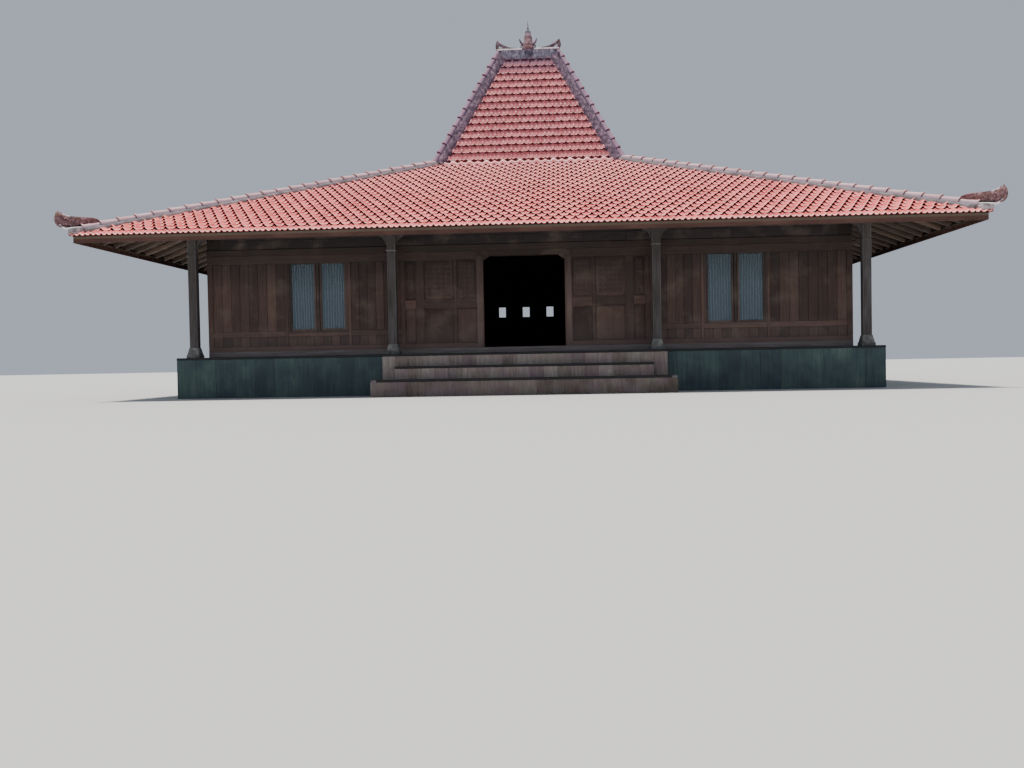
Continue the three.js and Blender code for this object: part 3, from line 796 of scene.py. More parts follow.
def dressed_wall(name, quarter, out, half, bays, start):
    """Joinery and boards of one wall. The bays given are those right of the middle, and are mirrored. Rails
    along the foot and the top start at the side of the doorway, if there is one."""
    whole = {(kind, *sorted((side * a, side * b))) for kind, a, b in bays for side in (1, -1)}
    whole = sorted(whole, key=lambda bay: bay[1])
    infill = [shape for bay in whole for shape in bay_infill(*bay)]
    rails = [shape for bay in whole for shape in bay_rails(*bay)]
    ends = [-half] + [edge for bay in whole for edge in bay[1:]] + [half]
    uprights = (BOTTOM_RAIL[1], TOP_RAIL[0])
    rails += [plank(pair, uprights, STILE_PROUD) for pair in zip(ends[::2], ends[1::2])
              if pair[1] - pair[0] < 2 * FRAME_HALF - 0.01]
    for reach in ((-half, -start), (start, half)):
        rails.append(plank(reach, BOTTOM_RAIL, STILE_PROUD))
        rails.append(plank(reach, TOP_RAIL, STILE_PROUD - 0.002))
    rails.append(plank((-half, half), HEAD_BEAM, HEAD_PROUD, BEAM_CHAMFER))
    if quarter % 2 == 0:
        rails.append(plank((-half, half), TOP_PLANK, 0.0))
    frieze = row(spans(FRIEZE_MARGIN - half, half - FRIEZE_MARGIN, FRIEZE_LONG), (-BOARD_PROUD, SUNK),
                 spans(HEAD_BEAM[1], WALL_TOP - 0.02, FRIEZE_TALL))
    sill = plank((-half, half), (FLOOR_Z + 0.001, SILL_Z), SILL_PROUD, BEAM_CHAMFER)
    for kind, shape, material, slot in (
            ("boards", joined(infill), WALL_TEAK, "wall_teak"), ("frieze", frieze, FRIEZE_TEAK_IN_SHADE, "wall_teak"),
            ("joinery", joined(rails), JOINERY, "frame_teak"), ("sill_beam", sill, SILL_TEAK, "frame_teak")):
        show(f"{name}_{kind}", shape.placed(turned(quarter, out)), material, slot)


clad(WALL_GROUND, "front_wall_left", "front_wall_right", "front_wall_over_door", "left_wall", "right_wall",
     "back_wall")
dressed_wall("front_wall", 0, WALL_Y, WALL_X, FRONT_BAYS, FRAME_HALF)
dressed_wall("right_wall", 1, WALL_X, SIDE_HALF, SIDE_BAYS, 0)
dressed_wall("back_wall", 2, WALL_Y, WALL_X, BACK_BAYS, 0)
dressed_wall("left_wall", 3, WALL_X, SIDE_HALF, SIDE_BAYS, 0)

# Door frame. Sill, jambs and head of teak, with a head board painted near black as shade, whose lower corners
# are filled by cut gussets, and a bead down each side of the opening.
DOOR_TOP_Z = 2.96
GUSSET_WIDE = 0.15
GUSSET_TALL = 0.10
GUSSET_Y = (-0.008, 0.05)
HEAD_BOARD_PROUD = 0.012
DOOR_BEAD = 0.03
DOOR_BEAD_PROUD = 0.014

clad(finish("door frame teak", eave_shade_and_foot_light(teak("3c2d29", "5f4b45", "84706a", "ZXY"))), "door_frame")
head = [plank((-FRAME_HALF, FRAME_HALF), (DOOR_TOP_Z, HEAD_BEAM[0]), HEAD_BOARD_PROUD)]
for side in (-1, 1):
    outline = [(side * DOOR_HALF, DOOR_TOP_Z), (side * DOOR_HALF, DOOR_TOP_Z - GUSSET_TALL),
               (side * (DOOR_HALF - GUSSET_WIDE), DOOR_TOP_Z)]
    head.append(plate(outline[::-side], *GUSSET_Y))
show("door_head_board", joined(head).placed(turned(0, DOOR_OUT)), HEAD_TEAK_IN_SHADE, "frame_teak")
beads = [plank(ends, (SILL_Z, DOOR_TOP_Z), DOOR_BEAD_PROUD, EASED)
         for ends in ((-DOOR_HALF - DOOR_BEAD, -DOOR_HALF), (DOOR_HALF, DOOR_HALF + DOOR_BEAD))]
show("door_beads", joined(beads).placed(turned(0, DOOR_OUT)), JOINERY, "frame_teak")


# Windows. Each has a fixed teak frame with two sashes of one pane, and a pleated blue-white curtain hung on
# a rod behind the glass.
def curtain_cloth(place):
    """Thin woven cloth, blue white, with painted shade in the back of each pleat and painted shade at its
    top.
    """
    pleat_shade = mark(place, "tone")
    # Painted shade: the back of each pleat is darker and its front lighter.
    colour = blend(pleat_shade, ink("6f7c92"), "a8b4c8")
    colour = blend(between(place.part("Z"), 2.25, 2.9) * 0.6, colour, "16181a")
    return coat(colour, 0.9, noise(place, 0.003, 2), 0.0008)


def glazing(place):
    """Old window glass: faintly green, smooth, with a slight ripple."""
    return {**coat(ink("586a70"), 0.06, noise(place, 0.5, 1), 0.004), "Alpha": 0.32}


CURTAIN = finish("curtain cloth", curtain_cloth)
GLASS = finish("window glass", glazing)
SASH_TEAK = finish("sash teak", eave_shade_and_foot_light(teak("2b201d", "463631", "64514b")))
WINDOW_HALF = 0.6695
WINDOW_Z = (1.3703, 2.9697)
WINDOW_RIM = 0.045
WINDOW_PROUD = 0.015
WINDOW_BACK = 0.085
MULLION_HALF = 0.03
SASH_Z = (1.42, 2.925)
SASH_WIDE = 0.045
SASH_Y = (-0.006, 0.03)
BACK_BOARD_Y = (0.08, WINDOW_BACK - 0.001)
SILL_NOSE = 0.01
PANE_X = (0.085, 0.58)
PANE_Z = (1.46, 2.88)
PANE_Y = (0.008, 0.012)
REBATE = 0.008
ROD_Z = (2.895, 2.907)
ROD_Y = (0.04, 0.052)
CURTAIN_Y = 0.045
CURTAIN_WIDE = PANE_X[1] - PANE_X[0] + 0.04
CURTAIN_TALL = PANE_Z[1] - PANE_Z[0] + 0.05
CURTAIN_FOOT = PANE_Z[0] - 0.03
PLEATS = 9
PLEAT_DEPTH = 0.011


def curtain(x0, side):
    """Pleated sheet from x0 to the right. Its depth is a cosine wave across, which shifts a little and grows
    towards the top."""
    u, v = np.meshgrid(np.linspace(0, 1, PLEATS * 8 + 1), np.linspace(0, 1, 9))
    wave = np.cos(2 * np.pi * PLEATS * u + 0.5 * np.sin(3 * v + side))
    points = spread(x0 + CURTAIN_WIDE * u, CURTAIN_Y + PLEAT_DEPTH * wave * (0.6 + 0.4 * v),
                    CURTAIN_FOOT + CURTAIN_TALL * v)
    # The tone is the painted shade of the pleats: 1 on their fronts, 0 at their backs.
    return Shape(points.reshape(-1, 3), grid_faces(*u.shape), (0.5 - 0.5 * wave).ravel())


def window(node, quarter, out, centre):
    """A window unit: frame, sashes, panes and curtains, made facing the front and turned to its wall."""
    def where(points):
        return turned(quarter, out)(points + (centre, 0, 0))

    def bar(x_ends, z_ends, front, back, chamfer=0.004):
        return blocks((x_ends[0], front, z_ends[0]), (x_ends[1], back, z_ends[1]), chamfer)

    half, rim = WINDOW_HALF, WINDOW_RIM
    low, high = WINDOW_Z
    jamb = (low + rim, high - rim)
    timber = [bar((-half, half), (low, jamb[0]), -WINDOW_PROUD - SILL_NOSE, WINDOW_BACK),
              bar((-half, half), (jamb[1], high), -WINDOW_PROUD, WINDOW_BACK)]
    timber += [bar(x_ends, jamb, -WINDOW_PROUD, WINDOW_BACK)
               for x_ends in ((-half, rim - half), (half - rim, half), (-MULLION_HALF, MULLION_HALF))]
    timber.append(bar((rim - half, half - rim), jamb, *BACK_BOARD_Y))
    panes = []
    curtains = []
    for side in (-1, 1):
        x0, x1 = sorted((side * PANE_X[0], side * PANE_X[1]))
        sash = (((x0 - SASH_WIDE, x0), SASH_Z), ((x1, x1 + SASH_WIDE), SASH_Z),
                ((x0, x1), (SASH_Z[0], PANE_Z[0])), ((x0, x1), (PANE_Z[1], SASH_Z[1])))
        timber += [bar(*ends, *SASH_Y) for ends in sash]
        pane_z = (PANE_Z[0] - REBATE, PANE_Z[1] + REBATE)
        panes.append(bar((x0 - REBATE, x1 + REBATE), pane_z, *PANE_Y, 0.001))
        curtains.append(curtain(x0 - 0.02, side))
        timber.append(bar((x0 - 0.03, x1 + 0.03), ROD_Z, *ROD_Y, 0.003))
    show(node + "_frame", joined(timber).placed(where), SASH_TEAK, "frame_teak", node)
    show(node + "_panes", joined(panes).placed(where), GLASS, "glass", node)
    for hand, cloth in zip(("left", "right"), curtains):
        piece = show(f"{node}_{hand}_curtain", cloth.placed(where), CURTAIN, "curtain", node, crease=80)


WINDOW_X = (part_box("front_window_right")[0][0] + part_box("front_window_right")[1][0]) / 2
window("front_window_left", 0, WALL_Y, -WINDOW_X)
window("front_window_right", 0, WALL_Y, WINDOW_X)
window("right_window", 1, WALL_X, 0)
window("left_window", 3, WALL_X, 0)

# Lower roof. Rafters run down from the ring beam over the eave beams, boarded on top and closed at the ends
# by a fascia. Flat interlocking clay tiles hang on battens in broken bond, each joint over the rib below.
EAVE_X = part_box("lower_roof_right")[1][0]
EAVE_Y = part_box("lower_roof_back")[1][1]
EAVE_Z = 3.37
break_corner, top_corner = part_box("upper_roof_back")
BREAK_Y = top_corner[1]
BREAK_Z = break_corner[2]
RIDGE_Z = top_corner[2]
SKEW = EAVE_X - EAVE_Y
SLOPES = ((0, "front", SKEW), (1, "right", -SKEW), (2, "back", SKEW), (3, "left", -SKEW))
LOWER_PITCH = np.arctan2(BREAK_Z - EAVE_Z, EAVE_Y - BREAK_Y)
UPPER_PITCH = np.arctan2(RIDGE_Z - BREAK_Z, BREAK_Y)
LOWER_LENGTH = (EAVE_Y - BREAK_Y) / np.cos(LOWER_PITCH)
LOWER_GAUGE = LOWER_LENGTH / 28
TILE_WIDE = 0.22
TILE_LAP = 0.05
TILE_THICK = 0.010
JOINT_WIDE = 0.056
JOINT_TALL = 0.020
RIB_WIDE = 0.072
RIB_TALL = 0.026
ARCH_WIDE = 0.11
PAN_LOW = -0.036
HOLLOW_DEEP = 0.004
BACK_TUCK = 0.008
NOSE_LONG = 0.012
RETURN_LONG = 0.085
COLUMNS = np.array([-0.028, -0.028, -0.014, 0.0, 0.014, 0.028, 0.052, 0.074, 0.092, 0.11, 0.128, 0.146, 0.168,
                    0.2])
JITTER = (0.0012, 0.003, 0.001)
TILT = 0.006
LOWER_LIFTS = (0.002, 0.024, 0.020)
LOWER_FIRST = (0.0, 0.026)
RAFTER_PITCH = 0.5
RAFTER_HALF = 0.03
RAFTER_START = 0.105
RAFTER_N = (-0.16, -0.079)
ROOF_BOARD = 0.2
BOARD_GAP = 0.004
LOWER_BOARDS_N = (-0.078, -0.058)


def on_slope(quarter, edge_out, edge_z, pitch):
    """Function that lays points of a slope on the house: u along the eaves, s up the slope from its lower
    edge, n square to it. Points past a hip are drawn in to it, since the hips run at 45 degrees in plan."""
    skew = SLOPES[quarter][2]

    def where(points):
        u, s, n = points.T
        out = edge_out - s * np.cos(pitch) + n * np.sin(pitch)
        reach = np.maximum(out + skew, 0)
        up = edge_z + s * np.sin(pitch) + n * np.cos(pitch)
        return turned(quarter)(np.column_stack([np.clip(u, -reach, reach), -out, up]))
    return where


def tile_courses(half_at, length, gauge, lifts, first):
    """Tiles over a slope in broken bond, as points (u, s, n). Across a tile its height is half a cosine wave
    over the joint at its left and another over the rib in its middle, with shallow hollows between. The lifts
    are how far its front edge stands up at the joint, how far in the hollows, and how much more in a wide
    arch at the rib. They fall to nothing at the tile's back. The first course has its own lift and its own
    height of lip. Rows from back to front: back edge, top of the lip, nose, underside and a return. The grain
    holds how much a point lies in the hollows, how far up the tile, and how far from the joint above."""
    middle = np.clip((COLUMNS - TILE_WIDE / 2) / TILE_WIDE * 2, -1, 1)
    joint = np.cos(np.pi * np.clip(COLUMNS / JOINT_WIDE, -0.5, 0.5))
    rib, arch = (np.cos(np.pi * np.clip(middle * TILE_WIDE / 2 / wide, -0.5, 0.5))
                 for wide in (RIB_WIDE, ARCH_WIDE))
    back = PAN_LOW + JOINT_TALL * joint + RIB_TALL * rib - HOLLOW_DEEP * np.sin(np.pi * middle) ** 2
    back[0] -= BACK_TUCK
    shapes = []
    for course in range(round(length / gauge)):
        eave = course == 0
        count = int(np.ceil(2 * (half_at(course * gauge) + 0.05) / TILE_WIDE)) + 1
        lift = lifts[0] + (lifts[1] - lifts[0]) * (1 - joint) + lifts[2] * arch
        lip = TILE_THICK
        if eave:
            lift = first[0] + 0.006 * rib
            lip = first[1]
        top = back + lift
        heights = np.stack([back, top, top - 0.4 * lip, top - lip, top - lip - 0.002])
        reach = np.array([gauge + TILE_LAP, NOSE_LONG, 0.0, 0.003, RETURN_LONG])[:, None]
        along = np.array([gauge + TILE_LAP, NOSE_LONG, 0.0, gauge, gauge])[:, None]
        one = spread(COLUMNS, reach, heights).reshape(-1, 3)
        hollow = 1 - np.maximum(joint, rib) * (0.5 if eave else 1.0)
        grain = spread(hollow, along, 1 - arch * (lifts[0] < 0.01)).reshape(-1, 3)
        jitter = luck.normal(0, 1, (count, 3)) * JITTER
        tilt = luck.normal(0, TILT, count)
        points = one + jitter[:, None]
        points[..., 2] += tilt[:, None] * (one[:, 0] - TILE_WIDE / 2)
        points[..., 0] += ((np.arange(count) - count // 2 + course % 2 / 2) * TILE_WIDE)[:, None]
        points[..., 1] += course * gauge
        faces = grid_faces(5, len(COLUMNS))[:, ::-1] + (np.arange(count) * len(one))[:, None, None]
        tone = np.repeat(luck.random(count), len(one))
        shapes.append(Shape(points.reshape(-1, 3), faces.reshape(-1, 3), tone, np.tile(grain, (count, 1))))
    return joined(shapes)


def without_slivers(shape, smallest=2e-7):
    """The shape without the triangles that a hip has drawn in to nothing."""
    a, b, c = shape.points[shape.faces].swapaxes(0, 1)
    area = np.linalg.norm(np.cross(b - a, c - a), axis=1) / 2
    used, faces = np.unique(shape.faces[area > smallest], return_inverse=True)
    return Shape(shape.points[used], faces.reshape(-1, 3), shape.tone[used], shape.grain[used])


def fired_clay(tints, bloom_tint, lit, course_shadow_tint, lip_wear_and_highlight_share=0.8, crest_highlight_share=0.0):
    """Recipe for terracotta tiles: each a little redder or browner, with lime bloom in clouds. A pale lip
    runs along the front, partly wear and partly a painted highlight, and painted highlights run up the joint
    and the rib, each in its share. Past its lit length a tile is painted dark as the shadow of the next
    course, which comes down on it. The lower roof fades towards the break, and near the ridge the clay goes
    dark mauve."""
    def recipe(place):
        hollow, along, open_back = (mark(place, "grain", "Vector").part(axis) for axis in "XYZ")
        height = place.part("Z")
        stain = noise(place, 0.07, 4)
        colour = ramp(mark(place, "tone") * 0.5 + stain * 0.5, (0.2, 0.42, 0.58, 0.8), tints)
        colour = blend(between(noise(place, 0.9, 5), 0.45, 0.75) * 0.25, colour, bloom_tint)
        # Painted highlight: pale streaks up the crests of the joint and the rib, just below the course above.
        if crest_highlight_share:
            crest_highlight = between(along, 0.03, 0.09) * (1.0 - hollow) * between(noise(place, 0.11, 2), 0.38, 0.55)
            colour = blend(crest_highlight * crest_highlight_share, colour, "f2c3c3")
        else:
            colour = blend(between(height, EAVE_Z + 0.9, BREAK_Z) * 0.35, colour, "ffb2ba")
        # Painted shadow: the tile goes dark past its lit length, where the next course shades it.
        colour = blend(between(along, lit, lit + 0.04) * open_back, colour, course_shadow_tint)
        # The pale lip is partly wear and partly a painted highlight along the front edge.
        lip = (1.0 - between(along, 0.012, 0.045)) * (hollow * 0.8 + 0.2)
        colour = blend(lip * lip_wear_and_highlight_share, colour, "f8d6d0")
        # Dark mauve towards the ridge.
        colour = blend(between(height, RIDGE_Z - 0.75, RIDGE_Z - 0.3) * 0.75, colour, "5c4059")
        return coat(colour, 0.62 + stain * 0.25, noise(place, 0.006, 2, 0.7) * 0.3 + stain, 0.003)
    return recipe


CLAY_TINTS = ("be4543", "d75553", "e4625f", "f17a77")
CLAY = finish("fired clay tiles", fired_clay(CLAY_TINTS, "ee9793", 0.18, "641f21"))
RAFTER_TEAK = finish("rafter teak", teak("2e2019", "4a372c", "685245"))


def under_roof(half_eave):
    """Rafters of the lower roof and the boards on them, as points (u, s, n)."""
    end = LOWER_LENGTH + 0.2
    shapes = [row((-half_eave, half_eave), spans(0.11, end, ROOF_BOARD, BOARD_GAP), LOWER_BOARDS_N, 0.003)]
    count = int(half_eave / RAFTER_PITCH)
    for u in RAFTER_PITCH * np.arange(-count, count + 1):
        top = min(end, (half_eave - abs(u)) / np.cos(LOWER_PITCH) - 0.05)
        if top > 0.3:
            shapes.append(blocks((u - RAFTER_HALF, RAFTER_START, RAFTER_N[0]),
                                 (u + RAFTER_HALF, top, RAFTER_N[1]), 0.003))
    return joined(shapes)


def show_slope(kind, side, shape, material, slot, crease):
    """One piece on one slope of a tier of the roof, which is the first word of its kind."""
    tier = kind.split("_")[0]
    show(f"{kind}_{side}", without_slivers(shape), material, slot, f"{tier}_roof_{side}", crease=crease)


for quarter, side, skew in SLOPES:
    edge = EAVE_Y if skew == SKEW else EAVE_X
    where = on_slope(quarter, edge, EAVE_Z, LOWER_PITCH)
    tiles = tile_courses(lambda s: edge + skew - s * np.cos(LOWER_PITCH), LOWER_LENGTH, LOWER_GAUGE,
                         LOWER_LIFTS, LOWER_FIRST)
    show_slope("lower_tiles", side, tiles.placed(where), CLAY, "clay_tile", 50)
    timbers = under_roof(edge + skew)
    show_slope("lower_rafters", side, timbers.placed(where), RAFTER_TEAK, "post_teak", 40)


# Fascia. A plain board nailed to the rafter ends, with painted sunlight as a pale band near its top, a
# painted shadow of the tiles along its top edge and painted shade on its lower part.
def fascia_board(place):
    """Board with fibres along both axes of the house at once, painted pale where sunlight falls on it and
    painted dark in the shade at its top edge and its foot.
    """
    x, y, z = (place.part(axis) for axis in "XYZ")
    grain = place.node("CombineXYZ", {}, {0: x + y, 1: x - y, 2: z})
    fibre = noise(grain, 0.01, 4, 0.6, stretch=(60, 60, 1))
    blots = noise(grain, 0.35, 4, stretch=(3, 3, 1))
    colour = ramp(fibre * 0.4 + blots * 0.6, (0.3, 0.5, 0.7), ("3c251f", "54352d", "69493f"))
    # Painted light: a pale grey-green band of sunlight, painted shade below it, and a near black painted
    # shadow of the tiles at the top.
    colour = blend(between(z, EAVE_Z - 0.125, EAVE_Z - 0.105) * 0.7, colour, "665e4f")
    colour = blend((1.0 - between(z, EAVE_Z - 0.22, EAVE_Z - 0.15)) * 0.6, colour, "35241f")
    colour = blend(between(z, EAVE_Z - 0.075, EAVE_Z - 0.06), colour, "120707")
    return coat(colour, 0.8, fibre, 0.002)


clad(finish("fascia board", fascia_board), "fascia")

# Lower hips. Half-round ridge tiles, each lapping the next one down with a thick lip, are bedded in grey
# mortar along the four hips.
LOWER_DROP = np.arctan2(np.tan(LOWER_PITCH), np.sqrt(2))
ACROSS = np.array([1.0, 1.0, 0.0]) / np.sqrt(2)
CORNERS = (("front_right", 1, 1), ("back_right", 1, -1), ("back_left", -1, -1), ("front_left", -1, 1))
CAP_LAP = 0.05
CAP_LIFT = 0.030
CAP_JITTER = 0.002
BED_SEAT = -0.06
BED_STEP = 0.05
BED_SECTION = np.array([(-1.0, 0.0), (-1.0, 0.3), (-0.9, 0.75), (-0.6, 1.0), (0.0, 1.05), (0.6, 1.0),
                        (0.9, 0.75), (1.0, 0.3), (1.0, 0.0)])


def on_hip(out, height, drop):
    """Function that lays points on the front right hip: across it, down along it from where it is a distance
    out along Y, and square to it upwards."""
    start = np.array([out + SKEW, -out, height])
    down = np.array([np.cos(drop) / np.sqrt(2), -np.cos(drop) / np.sqrt(2), -np.sin(drop)])
    over = np.cross(down, ACROSS)
    return lambda points: start + points[:, :1] * ACROSS + points[:, 1:2] * down + points[:, 2:] * over


def cap_tiles(length, count, half, tall, foot):
    """Lapped half-round tiles along a hip. Across, they are half an ellipse. Along each tile both its half
    width and height grow towards the lower end, which has a rounded lip and lies over the next tile. The
    grain holds how high round the arc a point lies, and how far down its tile."""
    pitch = length / count
    arc = np.linspace(0, np.pi, 13)
    along = np.array([0.0, 0.5, 0.90, 0.95, 1.0, 1.0, 0.9])[:, None]
    grow = np.array([0.0, 0.4, 0.75, 1.4, 1.4, 0.4, 0.3])[:, None]
    across = half * (0.88 + 0.10 * grow) * np.cos(arc)
    up = foot + (tall * 0.88 + CAP_LIFT * grow) * np.sin(arc)
    grain = spread(np.sin(arc), along, 0.0).reshape(-1, 3)
    shapes = []
    for k in range(count):
        points = spread(across, k * pitch - CAP_LAP + (pitch + CAP_LAP) * along, up).reshape(-1, 3)
        points += luck.normal(0, CAP_JITTER, 3)
        shapes.append(Shape(points, grid_faces(7, 13), np.full(len(points), luck.random()), grain))
    return joined(shapes)


def mortar_bed(length, half, tall, drop, rough):
    """Mortar under a row of cap tiles: a low bank whose section falls to both sides with the slopes, which
    go down by the sine of the hip's drop, and runs into the tiles. Sines of many lengths make it uneven."""
    side, level = BED_SECTION.T
    rows = int(length / BED_STEP)
    t = np.linspace(0, length, rows)[:, None]
    wave = np.sin(31 * t) + np.sin(53 * t + 2) + np.sin(97 * t + 1)
    wobble = rough * (wave * np.cos(3 * side) + np.sin(71 * t + 5 * side)) / 2
    across = side * half + wobble * np.sign(side)
    up = np.where(level > 0, level * tall + 0.5 * wobble, BED_SEAT) - np.abs(across) * np.sin(drop)
    return Shape(spread(across, t, up).reshape(-1, 3), grid_faces(rows, len(BED_SECTION))[:, ::-1])


def old_cap(pale, clay, grey):
    """Recipe for ridge tiles: clay that is pale and dusty along the crown, greyed by mortar and lichen down
    its sides, and painted black as shadow where the tile above laps over it."""
    def recipe(place):
        up, along = (mark(place, "grain", "Vector").part(axis) for axis in "XY")
        lichen = noise(place, 0.12, 5)
        colour = blend(mark(place, "tone") * 0.5 + lichen * 0.5, ink(clay), pale)
        colour = blend((1.0 - between(up + lichen * 0.4, 0.65, 1.0)) * 0.85, colour, grey)
        # Painted shadow: black near each tile's upper end, under the lap and lip of the tile above.
        colour = blend((1.0 - between(along, 0.15, 0.23)) * 0.9, colour, "2c2024")
        return coat(colour, 0.75, lichen, 0.004)
    return recipe


def show_hips(tier, caps, clay, bed, bedding):
    """The caps and the mortar of one tier of the roof, made on the front right hip and mirrored to four."""
    for corner, x, y in CORNERS:
        node = f"{tier}_hip_{corner}"
        show(f"{tier}_cap_tiles_{corner}", caps.mirrored(x, y), clay, "clay_tile", node)
        show(f"{tier}_cap_mortar_{corner}", bed.mirrored(x, y), bedding, "ridge_mortar", node)


CAP_CLAY = finish("ridge tile clay", old_cap("dcb9bb", "b57a7b", "8f8190"))
lower_caps_long = (EAVE_Y - BREAK_Y) * np.sqrt(2) / np.cos(LOWER_DROP) - 0.28
lower_place = on_hip(BREAK_Y, BREAK_Z, LOWER_DROP)
lower_caps = cap_tiles(lower_caps_long, count=25, half=0.105, tall=0.080, foot=0.025)
lower_bed = mortar_bed(lower_caps_long - 0.02, half=0.135, tall=0.055, drop=LOWER_DROP, rough=0.006)
show_hips("lower", lower_caps.placed(lower_place), CAP_CLAY, lower_bed.placed(lower_place), MORTAR)

# Upper roof. Four steep slopes of the same tiles on boards, up to the short ridge, with caps on its hips
# bedded in darker mortar. The lowest course stands clear over a row of thick pale lips at the break.
UPPER_LENGTH = BREAK_Y / np.cos(UPPER_PITCH)
UPPER_DROP = np.arctan2(np.tan(UPPER_PITCH), np.sqrt(2))
UPPER_START = 0.105
UPPER_GAUGE = (UPPER_LENGTH - UPPER_START) / 15
UPPER_LIFTS = (0.024, 0.036, 0.010)
UPPER_FIRST = (0.045, 0.012)
UPPER_BOARDS_X = (-3, 3)
UPPER_BOARDS_N = (-0.09, -0.06)
FOOT_OUT = 0.055
FOOT_UP = 0.035
FOOT_COURSE = 0.05
FOOT_FIRST = (0.0, 0.036)
FOOT_PITCH = 0.75
FOOT_STRETCH = (2, 1, 1.7)
STAINED_TINTS = ("963c45", "b04e57", "be5b62", "cc6f76")
STAINED_CLAY = finish("stained clay tiles", fired_clay(STAINED_TINTS, "c3868d", 0.095, "80323c", 0.6, 0.9))
FOOT_TINTS = ("e39a98", "f2b6b4", "fbcfce", "ffe2e2")
FOOT_CLAY = finish("foot row tiles", fired_clay(FOOT_TINTS, "f0b4b4", 0.03, "8a2c33", 1.0))
# Painted light: these boards show only in the shaded gaps under the foot row, and their red makes those gaps
# read dark red instead of black.
GAP_LIGHT_TEAK = finish("boards red with tile dust", teak("96403e", "b4524f", "cc6a66"))


def dark_mortar(*codes):
    """Recipe for mortar at the top of the roof, blue grey, blotted by lichen and streaked by rain."""
    def recipe(place):
        mixture = noise(place, 0.12, 5, 0.65) * 0.6 + noise(place, 0.035, 3, stretch=(1, 1, 5)) * 0.4
        return coat(ramp(mixture, (0.36, 0.5, 0.64), codes), 0.9, mixture, 0.008)
    return recipe


for quarter, side, skew in SLOPES:
    edge = BREAK_Y if skew == SKEW else BREAK_Y + SKEW
    where = on_slope(quarter, edge, BREAK_Z, UPPER_PITCH)
    tiles = tile_courses(lambda s: edge + skew - s * np.cos(UPPER_PITCH), UPPER_LENGTH - UPPER_START,
                         UPPER_GAUGE, UPPER_LIFTS, UPPER_FIRST).placed(moved(0, UPPER_START, 0))
    show_slope("upper_tiles", side, tiles.placed(where), STAINED_CLAY, "clay_tile", 50)
    foot = tile_courses(lambda s: (edge + skew) / 2, FOOT_COURSE, FOOT_COURSE, LOWER_LIFTS, FOOT_FIRST)
    foot = foot.placed(lambda points: points * FOOT_STRETCH)
    foot = foot.placed(on_slope(quarter, edge + FOOT_OUT, BREAK_Z + FOOT_UP, FOOT_PITCH))
    show_slope("upper_foot_tiles", side, foot, FOOT_CLAY, "clay_tile", 50)
    courses = spans(0.0, UPPER_LENGTH - 0.12, ROOF_BOARD, BOARD_GAP)
    boards = row(UPPER_BOARDS_X, courses, UPPER_BOARDS_N, 0.003)
    show_slope("upper_boards", side, boards.placed(where), GAP_LIGHT_TEAK, "post_teak", 40)

UPPER_CLAY = finish("upper ridge tile clay", old_cap("946e82", "6f4b5f", "75657f"))
HIP_MORTAR = finish("steep hip mortar", dark_mortar("281f30", "514052", "8c7585"))
upper_caps_long = BREAK_Y * np.sqrt(2) / np.cos(UPPER_DROP)
upper_place = on_hip(0.0, RIDGE_Z, UPPER_DROP)
upper_caps = cap_tiles(upper_caps_long, count=13, half=0.072, tall=0.065, foot=0.045)
upper_bed = mortar_bed(upper_caps_long - 0.04, half=0.185, tall=0.085, drop=UPPER_DROP, rough=0.009)
show_hips("upper", upper_caps.placed(upper_place), UPPER_CLAY, upper_bed.placed(upper_place), HIP_MORTAR)


# Corner ornaments. Over the end of each hip lies a carved leaf of fired clay, fluted in its middle, with
# its head curled up past the corner in a toothed plume. It stands on a mortar bed with a limewashed edge.
def through(points, count):
    """Points on a smooth curve through a few given ones: the cubic between each two has, at each end, half
    the slope from the point before to the point after."""
    points = np.asarray(points, float)
    padded = np.vstack([2 * points[0] - points[1], points, 2 * points[-1] - points[-2]])
    t = np.linspace(0, len(points) - 1, count)
    first = np.minimum(t.astype(int), len(points) - 2)
    t = (t - first)[:, None]
    a, b, c, d = (padded[first + k] for k in range(4))
    square, cube = 2 * a - 5 * b + 4 * c - d, 3 * b - a - 3 * c + d
    return 0.5 * (2 * b + (c - a) * t + square * t ** 2 + cube * t ** 3)


def stroke(count, *spine, sides=10, side=0.0):
    """Carved limb in an upright plane. The spine's rows are its x and z, its half width in the plane and its
    half depth across it. Its section is an ellipse square to the smooth curve through them."""
    x, z, wide, deep = through(spine, count).T
    along = np.gradient(np.stack([x, z]), axis=1)
    along_x, along_z = (along / np.linalg.norm(along, axis=0))[..., None]
    angle = np.linspace(0, 2 * np.pi, sides, endpoint=False)
    offset = np.maximum(wide, 0.002)[:, None] * np.cos(angle)
    depth = side + np.maximum(deep, 0.002)[:, None] * np.sin(angle)
    return stacked(spread(x[:, None] - along_z * offset, depth, z[:, None] + along_x * offset))


ORNAMENT_TINTS = ("422a2c", "735256", "a17d83")


def ornament_clay(place):
    """Mauve-brown fired clay, dark in the hollows, with ochre lichen in patches."""
    values = blotted(0.05, ORNAMENT_TINTS, roughness=0.8, depth=0.005)(place)
    lichen = between(noise(place, 0.14, 4), 0.48, 0.7)
    return {**values, "Base Color": blend(lichen * 0.5, values["Base Color"], "6b5238")}


